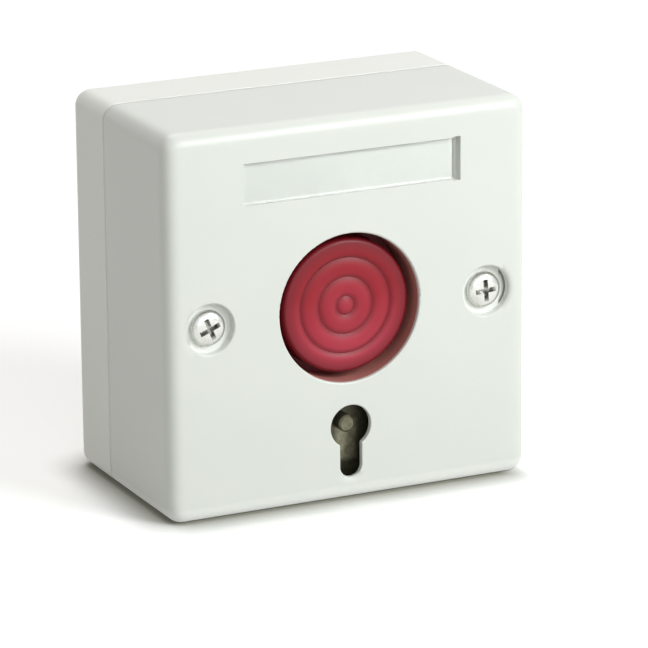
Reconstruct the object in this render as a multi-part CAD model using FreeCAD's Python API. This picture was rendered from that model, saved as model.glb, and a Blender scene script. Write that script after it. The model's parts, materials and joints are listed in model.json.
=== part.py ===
import FreeCAD, Part
import math
import os

# Panic button for a wall: a square white box with a round red button that stays in when it
# is pressed, and a keyhole below it whose key lets the button out again.
# Sizes are in millimetres. X runs to the right, Y from the front face to the wall, Z up.
# The origin is on the underside, in the middle of the width and of the depth.
# A "depth" is a distance behind the front face.

# How far an added piece reaches into its carrier, how far a cut runs past a face, and how
# near two places must be to count as the same
bite = 0.5
overrun = 1.0
same = 0.001

# Outside of the two mouldings
total_width = 86.0
total_height = 86.0
total_depth = 51.0
cover_depth = 33.0
side_wall = 2.4
face_wall = 2.6
floor_wall = 2.6
corner_radius = 3.6
least_rounding = 0.5
front_edge_radius = 3.0
back_edge_radius = 3.3
seam_chamfer = 0.35

# Lip of the box inside the cover
lip_height = 3.0
lip_root = 3.0
lip_wall = 1.3
lip_clearance = 0.15
lip_bite = 0.2

# Button
button_z = 43.3
button_radius = 15.0
button_gap = 1.7
button_recess = 2.0
button_travel = 4.0
cap_depth = 9.0
cap_wall = 2.2
cap_skirt_wall = 1.8
flange_thickness = 1.8
flange_overlap = 1.0
stop_gap = 0.3
collar_wall = 1.85
collar_depth = 7.2
opening_edge_radius = 0.4

# Ring that lines the opening and stops the flange of the cap
opening_lip = 0.9
sleeve_wall = 1.6
sleeve_clearance = 0.05

# Rings on the face of the cap
first_groove_radius = 2.1
groove_pitch = 4.3
groove_count = 3
groove_depth = 0.5
rim_rounding = 1.1
rim_dip = 0.12
cap_rib_count = 6
cap_rib_width = 1.0
cap_rib_height = 2.0

# Plunger and its catch
plunger_radius = 3.5
plunger_head_radius = 4.0
socket_wall = 1.6
socket_depth = 4.8
running_clearance = 0.05
tip_rounding = 0.8
clip_thickness = 0.5
clip_neck_radius = 2.9
clip_ring_wall = 1.1
clip_half_height = 1.4
clip_setback = 1.0
clip_split_share = 0.55
barb_thickness = 0.4
barb_tip_width = 0.52
barb_reach = 6.2
catch_gap = 0.25

# Return spring of the button
return_wire_radius = 0.55
return_coil_radius = 6.5
return_turns = 4.5
spring_end_gap = 0.05
spring_ring_wall = 1.0
spring_ring_height = 1.0

# Moulded frame behind the cover
cap_frame_gap = 0.5
frame_wall = 2.2
frame_rim_wall = 1.4
frame_rim_height = 3.0
frame_corner_radius = 2.0
frame_margin = 1.5
guide_wall = 1.85
guide_length = 2.1
frame_screw_inset = 13.0
frame_screw_low_z = 22.0
frame_screw_high_z = 64.0
frame_boss_radius = 3.2
gusset_thickness = 1.2
gusset_reach = 2.6
gusset_height = 7.0
gusset_foot = 0.6

# Keyhole and lock
key_z = 16.6
key_radius = 4.8
key_slot_width = 5.2
key_slot_reach = 11.55
key_edge_radius = 0.3
key_lip = 1.2
key_pocket_half_width = 11.8
key_pocket_margin_low = 2.0
key_pocket_margin_high = 1.0
key_pocket_radius = 3.0
lock_depth = 5.6
lock_plate_thickness = 1.0
lock_plate_margin = 0.5
lock_plate_corner = 1.0
lock_post_radius = 1.9
lock_post_front = 2.0
lock_post_chamfer = 0.4
tower_half_width = 12.0
tower_drop = 13.9
tower_rise = 6.2
tower_face_wall = 2.0
tower_side_wall = 1.8
lock_screw_x = 8.0
lock_screw_rise = 3.4
lock_screw_drop = 7.1

# Release slide
release_travel = 3.4
slide_thickness = 1.2
slide_half_width = 10.5
slide_head_drop = 10.5
slide_head_rise = 8.7
slide_gap = 0.1
slide_lip_gap = 0.2
slide_corner = 1.5
bend_inside = 0.6
step_height = 5.0
neck_overlap = 2.0
pad_height = 3.2
window_narrow_half = 5.0
window_wide_half = 6.9
window_step = 1.7
window_drop = 7.3
tongue_left = -9.6
tongue_right = -5.6
tongue_rise = -1.0
tongue_front = 2.0
tongue_clearance = 0.4
neck_right = -4.0
spigot_half_width = 1.2
spigot_length = 3.0
rail_wall = 2.4
rail_lip_reach = 1.6
rail_lip_thickness = 1.2
rail_pad_reach = 3.1
rail_margin = 1.2

# Stop under the slide
stop_inset = 0.5
stop_width = 4.0
stop_height = 2.0
stop_rise = 0.8

# Spring of the slide
slide_wire_radius = 0.25
slide_coil_radius = 2.4
slide_spring_length = 10.0
slide_spring_turns = 7
spring_seat_wall = 1.6
spring_seat_half_width = 4.5
spring_nub_radius = 1.3
spring_nub_length = 1.4

# Changeover switch
switch_wall = 2.2
clip_switch_gap = 0.4
plunger_stand = 0.6
leaf_gap = 0.3
leaf_thickness = 0.35
leaf_half_width = 3.2
strip_thickness = 0.6
strip_width = 6.0
strip_end_gap = 0.5
arm_height = 5.0
rivet_radius = 1.6
rivet_height = 0.4
rivet_drop = 6.3
contact_travel = 4.05
strip_screw_gap = 0.9
terminal_z = 66.0
clamp_size = 6.6
clamp_thickness = 0.8
clamp_rounding = 0.8
terminal_margin = 4.0
barrier_wall = 1.2
barrier_height = 6.1
barrier_drop = 6.0
pedestal_drop = 8.0
terminal_boss_wall = 1.1
terminal_boss_floor = 1.2
terminal_hole_floor = 0.8
switch_margin = 2.0
switch_screw_margin = 4.2
switch_edge_wall = 0.4
switch_screw_z = 48.0
rest_post_radius = 2.2
switch_boss_radius = 2.8

# Screws: radius and height of the head, radius and length of the shank
cover_screw_inset = 10.0
cover_screw_z = 42.9
cover_screw = (4.0, 1.9, 2.0, 36.0)
frame_screw = (2.8, 1.9, 1.4, 7.0)
lock_screw = (1.6, 0.9, 0.9, 3.0)
switch_screw = (2.6, 1.6, 1.2, 9.0)
terminal_screw = (2.8, 1.7, 1.5, 5.0)
# How far each screw is turned, in degrees
left_cover_turn = 22
right_cover_turn = 50
frame_screw_turn = 15
frame_turn_step = 25
lock_turn_step = 30
switch_screw_turn = 35
terminal_screw_turn = -32
terminal_turn_step = 42
# A pan head and its cross recess, as shares of the head's radius and height
crown_share = 0.35
bend_share = 0.82
bend_drop = 0.3
flat_share = 0.45
arm_share = 0.55
cross_share = 0.11
cross_floor_share = 0.35
cross_cone_share = 2.6
tip_share = 0.3
screw_hole_clearance = 0.2
thread_clearance = 0.02
hole_spare = 0.5
tip_spare = 1.0
screw_recess_radius = 5.6
screw_recess_depth = 2.0
cover_boss_radius = 4.4
insert_radius = 2.8
insert_length = 8.0
insert_setback = 0.6
insert_groove_depth = 0.4
insert_groove_half = 0.6

# Label strip over the button
label_x = 0.3
label_drop = 12.4
label_width = 50.2
label_height = 9.2
label_recess_depth = 1.3
label_clearance = 0.15
label_card_thickness = 0.25
label_window_thickness = 0.9
window_chamfer = 0.2
notch_width = 1.3
notch_depth = 2.0
notch_overrun = 0.3

# Openings in the wall side of the box
wall_slot_spacing = 60.3
wall_slot_width = 4.5
wall_slot_length = 9.0
slot_pad_margin = 2.0
slot_pad_height = 1.0
cable_hole_radius = 9.0
cable_rim_wall = 1.6
cable_rim_height = 1.5

# Places that follow from the sizes above, as depths behind the front face
backward = FreeCAD.Vector(0, 1, 0)
upward = FreeCAD.Vector(0, 0, 1)
opening_radius = button_radius + button_gap
sleeve_radius = opening_radius + sleeve_wall
collar_bore = sleeve_radius + sleeve_clearance
collar_radius = collar_bore + collar_wall
cap_front = button_recess
cap_inside = cap_front + cap_wall
cap_back = cap_front + cap_depth
flange_front = cap_back - flange_thickness
sleeve_back = flange_front - stop_gap
socket_back = cap_inside + socket_depth
frame_front = cap_back + button_travel + cap_frame_gap
frame_back = frame_front + frame_wall
cover_screw_x = total_width / 2 - cover_screw_inset
frame_screw_x = cover_screw_x - frame_screw_inset
label_z = total_height - label_drop
frame_half_width = frame_screw_x + frame_boss_radius + frame_margin
tower_low = key_z - tower_drop
tower_high = key_z + tower_rise
frame_low = tower_low
frame_high = frame_screw_high_z + frame_boss_radius + frame_margin
switch_screw_x = frame_half_width - switch_screw_margin
terminal_pitch = switch_screw_x - switch_screw[0] - strip_screw_gap - strip_width / 2
slide_front = frame_back + pad_height + slide_gap
slide_back = slide_front + slide_thickness
slide_low = button_z - slide_head_drop
slide_high = button_z + slide_head_rise
tongue_z = key_z + tongue_rise
barb_front = slide_back + catch_gap - button_travel
clip_front = slide_back + clip_setback
clip_back = clip_front + clip_thickness
switch_front = clip_back + button_travel + clip_switch_gap
switch_back = switch_front + switch_wall
plunger_back = switch_back + plunger_stand
leaf_front = plunger_back + leaf_gap
leaf_back = leaf_front + leaf_thickness
strip_back = switch_back + strip_thickness
rivet_z = button_z - rivet_drop
arm_low = rivet_z - arm_height / 2
arm_high = rivet_z + arm_height / 2
open_rivet_front = leaf_back + rivet_height + contact_travel
open_arm_front = open_rivet_front + rivet_height
terminal_high = terminal_z + terminal_margin
lock_plate_back = lock_depth + lock_plate_thickness
tower_front = lock_plate_back
spring_seat_z = slide_high + slide_spring_length
box_floor = total_depth - floor_wall
middle_z = total_height / 2


def point(x, depth, z):
    return FreeCAD.Vector(x, depth - total_depth / 2, z)


def block(x_low, x_high, front, back, z_low, z_high):
    corner = point(x_low, front, z_low)
    return Part.makeBox(x_high - x_low, back - front, z_high - z_low, corner)


def rod(radius, front, back, x, z):
    return Part.makeCylinder(radius, back - front, point(x, front, z), backward)


def tube(outer, inner, front, back, x, z):
    return rod(outer, front, back, x, z).cut(rod(inner, front, back, x, z))


def depth_edges(shape):
    # the straight edges that run from front to back
    found = []
    for edge in shape.Edges:
        start = edge.Vertexes[0].Point
        end = edge.Vertexes[-1].Point
        if abs(start.x - end.x) + abs(start.z - end.z) < same < abs(start.y - end.y):
            found.append(edge)
    return found


def level_edges(shape, depth):
    # the edges that lie at one depth
    y = depth - total_depth / 2
    found = []
    for edge in shape.Edges:
        box = edge.BoundBox
        if abs(box.YMin - y) < same and abs(box.YMax - y) < same:
            found.append(edge)
    return found


def rounded_block(x_low, x_high, front, back, z_low, z_high, radius):
    plain = block(x_low, x_high, front, back, z_low, z_high)
    return plain.makeFillet(radius, depth_edges(plain))


def plate(outline, front, back):
    # an outline of (x, z) points, given a thickness from front to back
    points = [point(x, front, z) for x, z in outline]
    points.append(points[0])
    face = Part.Face(Part.makePolygon(points))
    return face.extrude(backward * (back - front))


def upright(outline, z_low, z_high):
    # an outline of (x, depth) points, drawn out upwards
    points = [point(x, depth, z_low) for x, depth in outline]
    points.append(points[0])
    face = Part.Face(Part.makePolygon(points))
    return face.extrude(upward * (z_high - z_low))


def turned(edges, x, z):
    # a closed profile in the plane of the axis, turned about a line from front to back
    face = Part.Face(Part.Wire(edges))
    return face.revolve(point(x, 0, z), backward, 360)


def segment(start, end):
    return Part.LineSegment(start, end).toShape()


def arc(start, middle, end):
    return Part.Arc(start, middle, end).toShape()


def mirrored(shape):
    return shape.mirror(FreeCAD.Vector(0, 0, 0), FreeCAD.Vector(1, 0, 0))


def join(first, others):
    return first.fuse(others).removeSplitter()


def pan_screw(sizes, x, z, seat, points_back, turn):
    # A pan head with a cross recess, seated on a face at the depth "seat". The shank goes
    # towards the wall if points_back is true, and towards the front if it is not.
    head_radius, head_height, shank_radius, shank_length = sizes
    crown = head_height * crown_share
    shoulder = point(x + head_radius, seat, z)
    rise = point(x + head_radius, seat - head_height + crown, z)
    bend = point(x + head_radius * bend_share, seat - head_height + crown * bend_drop, z)
    top = point(x + head_radius * flat_share, seat - head_height, z)
    centre = point(x, seat - head_height, z)
    foot = point(x, seat, z)
    outline = [segment(foot, shoulder), segment(shoulder, rise), arc(rise, bend, top)]
    outline.append(segment(top, centre))
    outline.append(segment(centre, foot))
    head = turned(outline, x, z)
    shank = rod(shank_radius, seat, seat + shank_length, x, z)
    tip = level_edges(shank, seat + shank_length)
    shank = shank.makeChamfer(shank_radius * tip_share, tip)
    arm = head_radius * arm_share
    half = head_radius * cross_share
    recess_back = seat - head_height * cross_floor_share
    front = seat - head_height - overrun
    across = block(x - arm, x + arm, front, recess_back, z - half, z + half)
    along = block(x - half, x + half, front, recess_back, z - arm, z + arm)
    cone = Part.makeCone(half * cross_cone_share, half, recess_back - front,
                         point(x, front, z), backward)
    recess = across.fuse([along, cone])
    recess.rotate(point(x, 0, z), backward, turn)
    screw = join(head, [shank]).cut(recess)
    if not points_back:
        screw.rotate(point(x, seat, z), upward, 180)
    return screw


def coil(radius, wire_radius, turns, length, start, direction):
    # a compression spring whose two ends are ground flat
    helix = Part.makeHelix(length / turns, length, radius)
    section = Part.makeCircle(wire_radius, FreeCAD.Vector(radius, 0, 0), FreeCAD.Vector(0, 1, 0))
    wire = Part.Wire(helix).makePipeShell([Part.Wire(section)], True, True)
    ground = wire.common(Part.makeCylinder(radius + 2 * wire_radius, length))
    ground.rotate(FreeCAD.Vector(0, 0, 0), FreeCAD.Vector(1, 0, 0), -90 if direction == backward else 0)
    ground.translate(start)
    return ground


def keyhole(front, back, clearance):
    # round part for the barrel of the key, and the slot below it for the bit
    half = key_slot_width / 2 + clearance
    round_part = rod(key_radius + clearance, front, back, 0, key_z)
    slot_end = key_z - key_slot_reach + key_slot_width / 2
    slot = block(-half, half, front, back, slot_end, key_z)
    return round_part.fuse([slot, rod(half, front, back, 0, slot_end)])


def frame_screw_places():
    return [(side * frame_screw_x, z)
            for side in (-1, 1)
            for z in (frame_screw_low_z, frame_screw_high_z)]


def frame_boss(x, z):
    # a boss on the back of the face with three gussets, and a hole for a tapping screw
    pieces = []
    for angle in (90, 210, 330):
        reach = frame_boss_radius + gusset_reach
        fin = plate_fin(reach, gusset_height)
        fin.rotate(FreeCAD.Vector(0, 0, 0), backward, angle)
        fin.translate(point(x, face_wall, z))
        pieces.append(fin)
    boss = rod(frame_boss_radius, face_wall - bite, frame_front, x, z)
    return boss.fuse(pieces)


def plate_fin(reach, height):
    # a triangular fin that falls away from the axis of its boss
    half = gusset_thickness / 2
    points = [FreeCAD.Vector(0, -bite, -half), FreeCAD.Vector(reach, -bite, -half)]
    points.append(FreeCAD.Vector(reach, gusset_foot, -half))
    points.append(FreeCAD.Vector(frame_boss_radius, height, -half))
    points.append(FreeCAD.Vector(0, height, -half))
    points.append(points[0])
    return Part.Face(Part.makePolygon(points)).extrude(upward * gusset_thickness)


def front_cover():
    half = total_width / 2
    body = rounded_block(-half, half, 0, cover_depth, 0, total_height, corner_radius)
    body = body.makeFillet(front_edge_radius, level_edges(body, 0))
    body = body.makeChamfer(seam_chamfer, level_edges(body, cover_depth))
    inside_radius = max(corner_radius - side_wall, least_rounding)
    inside = rounded_block(-half + side_wall, half - side_wall, face_wall, cover_depth + overrun,
                           side_wall, total_height - side_wall, inside_radius)
    body = body.cut(inside)
    added = [rod(collar_radius, face_wall - bite, collar_depth, 0, button_z)]
    for side in (-1, 1):
        added.append(rod(cover_boss_radius, face_wall - bite, cover_depth, side * cover_screw_x,
                         cover_screw_z))
    for x, z in frame_screw_places():
        added.append(frame_boss(x, z))
    body = join(body, added)
    removed = [rod(opening_radius, -overrun, opening_lip + overrun, 0, button_z)]
    removed.append(rod(collar_bore, opening_lip, collar_depth + overrun, 0, button_z))
    removed += [keyhole(-overrun, face_wall + overrun, 0), key_pocket()]
    for side in (-1, 1):
        x = side * cover_screw_x
        removed.append(rod(screw_recess_radius, -overrun, screw_recess_depth, x, cover_screw_z))
        hole = cover_screw[2] + screw_hole_clearance
        removed.append(rod(hole, 0, cover_depth + overrun, x, cover_screw_z))
    for x, z in frame_screw_places():
        bottom = frame_back - frame_screw[3] - hole_spare
        removed.append(rod(frame_screw[2] + thread_clearance, bottom, frame_front + overrun, x, z))
    removed.append(label_recess())
    body = body.cut(removed)
    sharp = [edge for edge in level_edges(body, 0)
             if is_ring(edge, opening_radius) or is_ring(edge, screw_recess_radius)]
    body = body.makeFillet(opening_edge_radius, sharp)
    return body.makeFillet(key_edge_radius, keyhole_edges(body))


def keyhole_edges(shape):
    # the outline of the keyhole on the front of the face
    found = []
    for edge in level_edges(shape, 0):
        box = edge.BoundBox
        if box.ZMax < key_z + key_radius + same and box.XLength < 2 * key_radius + same:
            found.append(edge)
    return found


def key_pocket():
    # a thinner field of the face in which the bit of the key turns
    low = key_z - key_slot_reach - key_pocket_margin_low
    high = key_z + key_radius + key_pocket_margin_high
    return rounded_block(-key_pocket_half_width, key_pocket_half_width, key_lip, face_wall + overrun,
                         low, high, key_pocket_radius)


def is_ring(edge, radius):
    return hasattr(edge.Curve, "Radius") and abs(edge.Curve.Radius - radius) < same


def label_recess():
    low = label_z - label_height / 2
    high = label_z + label_height / 2
    left = label_x - label_width / 2
    right = label_x + label_width / 2
    strip = block(left, right, -overrun, label_recess_depth, low, high)
    notch = block(right - bite, right + notch_width, -overrun, notch_depth, low - notch_overrun,
                  high + notch_overrun)
    return strip.fuse(notch)


def label_strip(front, back):
    low = label_z - label_height / 2 + label_clearance
    high = label_z + label_height / 2 - label_clearance
    left = label_x - label_width / 2 + label_clearance
    right = label_x + label_width / 2 - label_clearance
    return block(left, right, front, back, low, high)


def label_card():
    return label_strip(label_recess_depth - label_card_thickness, label_recess_depth)


def label_window():
    back = label_recess_depth - label_card_thickness
    window = label_strip(back - label_window_thickness, back)
    return window.makeChamfer(window_chamfer, level_edges(window, back - label_window_thickness))


def back_box():
    half = total_width / 2
    body = rounded_block(-half, half, cover_depth, total_depth, 0, total_height, corner_radius)
    body = body.makeFillet(back_edge_radius, level_edges(body, total_depth))
    body = body.makeChamfer(seam_chamfer, level_edges(body, cover_depth))
    inside_radius = max(corner_radius - side_wall, least_rounding)
    inside = rounded_block(-half + side_wall, half - side_wall, cover_depth - overrun, box_floor,
                           side_wall, total_height - side_wall, inside_radius)
    body = body.cut(inside)
    lip_outer = side_wall + lip_clearance
    lip_inner = lip_outer + lip_wall
    lip = rounded_block(-half + lip_outer, half - lip_outer, cover_depth - lip_height,
                        cover_depth, lip_outer, total_height - lip_outer, inside_radius)
    root = rounded_block(-half + side_wall - lip_bite, half - side_wall + lip_bite, cover_depth,
                         cover_depth + lip_root, side_wall - lip_bite,
                         total_height - side_wall + lip_bite, inside_radius)
    hollow = block(-half + lip_inner, half - lip_inner, cover_depth - lip_height - overrun,
                   cover_depth + lip_root + overrun, lip_inner, total_height - lip_inner)
    added = [lip.fuse(root).cut(hollow)]
    for side in (-1, 1):
        added.append(rod(cover_boss_radius, cover_depth, box_floor + bite, side * cover_screw_x,
                         cover_screw_z))
        z = middle_z + side * wall_slot_spacing / 2
        added.append(wall_slot(slot_pad_margin, box_floor - slot_pad_height, box_floor + bite, z))
    added.append(rod(cable_hole_radius + cable_rim_wall, box_floor - cable_rim_height,
                     box_floor + bite, 0, middle_z))
    body = join(body, added)
    removed = [rod(cable_hole_radius, cover_depth, total_depth + overrun, 0, middle_z)]
    for side in (-1, 1):
        z = middle_z + side * wall_slot_spacing / 2
        removed.append(wall_slot(0, cover_depth, total_depth + overrun, z))
        x = side * cover_screw_x
        pocket_back = cover_depth + insert_setback + insert_length
        removed.append(rod(insert_radius, cover_depth - overrun, pocket_back, x, cover_screw_z))
        tip = screw_recess_depth + cover_screw[3] + tip_spare
        hole = cover_screw[2] + screw_hole_clearance
        removed.append(rod(hole, cover_depth, max(tip, pocket_back), x, cover_screw_z))
    return body.cut(removed)


def wall_slot(margin, front, back, z):
    radius = wall_slot_width / 2 + margin
    reach = (wall_slot_length - wall_slot_width) / 2
    middle = block(-radius, radius, front, back, z - reach, z + reach)
    ends = [rod(radius, front, back, 0, z - reach), rod(radius, front, back, 0, z + reach)]
    return middle.fuse(ends)


def cover_screws():
    left = pan_screw(cover_screw, -cover_screw_x, cover_screw_z, screw_recess_depth, True,
                     left_cover_turn)
    right = pan_screw(cover_screw, cover_screw_x, cover_screw_z, screw_recess_depth, True,
                      right_cover_turn)
    return Part.makeCompound([left, right])


def screw_inserts():
    front = cover_depth + insert_setback
    back = front + insert_length
    inserts = []
    for side in (-1, 1):
        x = side * cover_screw_x
        bore = cover_screw[2] + thread_clearance
        insert = tube(insert_radius, bore, front, back, x, cover_screw_z)
        waist = (front + back) / 2
        groove = tube(insert_radius + overrun, insert_radius - insert_groove_depth,
                      waist - insert_groove_half, waist + insert_groove_half, x,
                      cover_screw_z)
        inserts.append(insert.cut(groove))
    return Part.makeCompound(inserts)


def button_sleeve():
    # a ring in the bore of the collar, with a rim at its back on which the cap's flange stops
    sleeve = tube(sleeve_radius, opening_radius, opening_lip + sleeve_clearance, sleeve_back, 0,
                  button_z)
    rim = tube(collar_radius, opening_radius, collar_depth + sleeve_clearance, sleeve_back, 0,
               button_z)
    return join(sleeve, [rim])


def ridge_point(middle, half_width, offset):
    # a point on the round crown between two grooves of the button
    radius = (half_width ** 2 + groove_depth ** 2) / (2 * groove_depth)
    depth = cap_front + radius - math.sqrt(radius ** 2 - offset ** 2)
    return point(middle + offset, depth, button_z)


def button_cap():
    groove_floor = cap_front + groove_depth
    edges = [arc(point(0, cap_front, button_z),
                 ridge_point(0, first_groove_radius, first_groove_radius / 2),
                 point(first_groove_radius, groove_floor, button_z))]
    for index in range(groove_count - 1):
        start = first_groove_radius + index * groove_pitch
        crown = point(start + groove_pitch / 2, cap_front, button_z)
        edges.append(arc(point(start, groove_floor, button_z), crown,
                         point(start + groove_pitch, groove_floor, button_z)))
    last_groove = first_groove_radius + (groove_count - 1) * groove_pitch
    rim_start = button_radius - rim_rounding
    rim_front = cap_front + rim_dip
    rim_back = rim_front + rim_rounding
    rim_bend = rim_rounding * (1 - math.sqrt(0.5))
    edges.append(arc(point(last_groove, groove_floor, button_z),
                     point((last_groove + rim_start) / 2, cap_front, button_z),
                     point(rim_start, rim_front, button_z)))
    edges.append(arc(point(rim_start, rim_front, button_z),
                     point(button_radius - rim_bend, rim_front + rim_bend, button_z),
                     point(button_radius, rim_back, button_z)))
    inside = button_radius - cap_skirt_wall
    socket_outer = plunger_head_radius + socket_wall
    flange_radius = opening_radius + flange_overlap
    corners = [(button_radius, rim_back), (button_radius, flange_front)]
    corners += [(flange_radius, flange_front), (flange_radius, cap_back)]
    corners += [(inside, cap_back), (inside, cap_inside)]
    corners += [(socket_outer, cap_inside), (socket_outer, socket_back)]
    corners += [(plunger_head_radius, socket_back), (plunger_head_radius, cap_inside)]
    corners += [(0, cap_inside), (0, cap_front)]
    for start, end in zip(corners, corners[1:]):
        edges.append(segment(point(start[0], start[1], button_z),
                             point(end[0], end[1], button_z)))
    cap = turned(edges, 0, button_z)
    rib_start = return_coil_radius + 2 * return_wire_radius
    ribs = []
    for index in range(cap_rib_count):
        rib = block(rib_start, inside + bite, cap_inside - bite, cap_inside + cap_rib_height,
                    button_z - cap_rib_width / 2, button_z + cap_rib_width / 2)
        rib.rotate(point(0, 0, button_z), backward, index * 360 / cap_rib_count)
        ribs.append(rib)
    return join(cap, ribs)


def plunger():
    head = rod(plunger_head_radius - running_clearance, cap_inside, socket_back, 0, button_z)
    stem = rod(plunger_radius, socket_back, plunger_back, 0, button_z)
    stem = stem.makeFillet(tip_rounding, level_edges(stem, plunger_back))
    groove = tube(plunger_radius + overrun, clip_neck_radius, clip_front - running_clearance,
                  clip_back + running_clearance, 0, button_z)
    return join(head, [stem]).cut(groove)


def catch_clip():
    # a split ring in the groove of the plunger, with a sprung barb on each side
    inner = clip_neck_radius + running_clearance
    outer = inner + clip_ring_wall
    ring = tube(outer, inner, clip_front, clip_back, 0, button_z)
    gap = inner * clip_split_share
    split = block(-gap, gap, clip_front - overrun, clip_back + overrun,
                  button_z - outer - overrun, button_z)
    ring = ring.cut(split)
    knee = slide_front - slide_gap
    knee_x = outer + barb_thickness
    tip_x = barb_reach
    outline = [(outer, clip_back), (knee_x, knee), (tip_x, barb_front)]
    outline += [(tip_x - barb_tip_width, barb_front), (knee_x - barb_thickness, knee)]
    outline += [(outer - barb_thickness, clip_front), (outer - barb_thickness, clip_back)]
    barb = upright(outline, button_z - clip_half_height, button_z + clip_half_height)
    return join(ring, [barb, mirrored(barb)])


def return_spring():
    length = frame_front - cap_inside - 2 * spring_end_gap
    start = point(0, cap_inside + spring_end_gap, button_z)
    return coil(return_coil_radius, return_wire_radius, return_turns, length, start, backward)


def rail():
    # the channel that guides the right edge of the release slide
    wall = slide_half_width + slide_gap
    lip_front = slide_back + slide_lip_gap
    lip_back = lip_front + rail_lip_thickness
    outer = wall + rail_wall
    pad = slide_front - slide_gap
    outline = [(wall - rail_pad_reach, frame_back - bite), (outer, frame_back - bite)]
    outline += [(outer, lip_back), (wall - rail_lip_reach, lip_back)]
    outline += [(wall - rail_lip_reach, lip_front), (wall, lip_front)]
    outline += [(wall, pad), (wall - rail_pad_reach, pad)]
    return upright(outline, slide_low + rail_margin, slide_high - rail_margin)


def mechanism_frame():
    body = rounded_block(-frame_half_width, frame_half_width, frame_front, frame_back,
                         frame_low, frame_high, frame_corner_radius)
    rim = rounded_block(-frame_half_width, frame_half_width, frame_back - bite,
                        frame_back + frame_rim_height, frame_low, frame_high,
                        frame_corner_radius)
    rim_inside = frame_half_width - frame_rim_wall
    rim = rim.cut(block(-rim_inside, rim_inside, frame_front, frame_back + frame_rim_height + overrun,
                        frame_low + frame_rim_wall, frame_high - frame_rim_wall))
    tower = rounded_block(-tower_half_width, tower_half_width, tower_front, frame_front + bite,
                          tower_low, tower_high, frame_corner_radius)
    guide_radius = plunger_radius + running_clearance
    guide_front = frame_front - guide_length
    guide = rod(guide_radius + guide_wall, guide_front, frame_front + bite, 0, button_z)
    ring_inner = return_coil_radius + 2 * return_wire_radius
    spring_ring = tube(ring_inner + spring_ring_wall, ring_inner,
                       frame_front - spring_ring_height, frame_front + bite, 0, button_z)
    added = [rim, tower, guide, spring_ring, rail(), mirrored(rail())]
    spring_depth = (slide_front + slide_back) / 2
    seat_back = spring_depth + slide_coil_radius + overrun
    added.append(block(-spring_seat_half_width, spring_seat_half_width, frame_back - bite,
                       seat_back, spring_seat_z, spring_seat_z + spring_seat_wall))
    added.append(Part.makeCylinder(spring_nub_radius, spring_nub_length + bite,
                                   point(0, spring_depth, spring_seat_z - spring_nub_length),
                                   upward))
    stop_high = slide_low - slide_lip_gap
    stop_right = slide_half_width - stop_inset
    added.append(block(stop_right - stop_width, stop_right, frame_back - bite, slide_back + stop_rise,
                       stop_high - stop_height, stop_high))
    for side in (-1, 1):
        added.append(rod(switch_boss_radius, frame_back - bite, switch_front,
                         side * switch_screw_x, switch_screw_z))
        added.append(rod(rest_post_radius, frame_back - bite, switch_front,
                         side * terminal_pitch / 2, terminal_z))
    body = join(body, added)
    pocket = block(-tower_half_width + tower_side_wall, tower_half_width - tower_side_wall,
                   tower_front + tower_face_wall, frame_back + overrun,
                   tower_low + tower_side_wall, tower_high - tower_side_wall)
    removed = [pocket, tongue_slot(tower_front - overrun, tower_front + tower_face_wall + overrun)]
    removed.append(rod(guide_radius, guide_front - overrun, frame_back + overrun, 0, button_z))
    removed.append(rod(lock_post_radius, tower_front - overrun, frame_back, 0, key_z))
    for x, z in lock_screw_places():
        removed.append(rod(lock_screw[2] + thread_clearance, tower_front - overrun, frame_back, x, z))
    for x, z in frame_screw_places():
        hole = frame_screw[2] + screw_hole_clearance
        removed.append(rod(hole, frame_front - overrun, frame_back + overrun, x, z))
    for side in (-1, 1):
        hole_front = switch_back - switch_screw[3] - hole_spare
        removed.append(rod(switch_screw[2] + thread_clearance, hole_front, switch_front + overrun,
                           side * switch_screw_x, switch_screw_z))
    return body.cut(removed)


def tongue_slot(front, back):
    return block(tongue_left - tongue_clearance, tongue_right + tongue_clearance, front, back,
                 tongue_z - tongue_clearance,
                 tongue_z + slide_thickness + release_travel + tongue_clearance)


def lock_screw_places():
    return [(lock_screw_x, key_z + lock_screw_rise), (lock_screw_x, key_z - lock_screw_drop)]


def frame_screws():
    screws = []
    for index, place in enumerate(frame_screw_places()):
        x, z = place
        front_to_back = pan_screw(frame_screw, x, z, frame_back, False,
                                  frame_screw_turn + frame_turn_step * index)
        screws.append(front_to_back)
    return Part.makeCompound(screws)


def lock_plate():
    edge = tower_half_width - lock_plate_margin
    body = rounded_block(-edge, edge, lock_depth, lock_plate_back,
                         tower_low + lock_plate_margin, tower_high - lock_plate_margin,
                         lock_plate_corner)
    removed = [tongue_slot(lock_depth - overrun, lock_plate_back + overrun)]
    removed.append(rod(lock_post_radius, lock_depth - overrun, lock_plate_back + overrun, 0, key_z))
    for x, z in lock_screw_places():
        hole = lock_screw[2] + screw_hole_clearance
        removed.append(rod(hole, lock_depth - overrun, lock_plate_back + overrun, x, z))
    return body.cut(removed)


def lock_post():
    back = tower_front + tower_face_wall
    post = rod(lock_post_radius, lock_post_front, back, 0, key_z)
    return post.makeChamfer(lock_post_chamfer, level_edges(post, lock_post_front))


def lock_screws():
    screws = []
    for index, place in enumerate(lock_screw_places()):
        screws.append(pan_screw(lock_screw, place[0], place[1], lock_depth, True,
                                lock_turn_step * index))
    return Part.makeCompound(screws)


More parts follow.
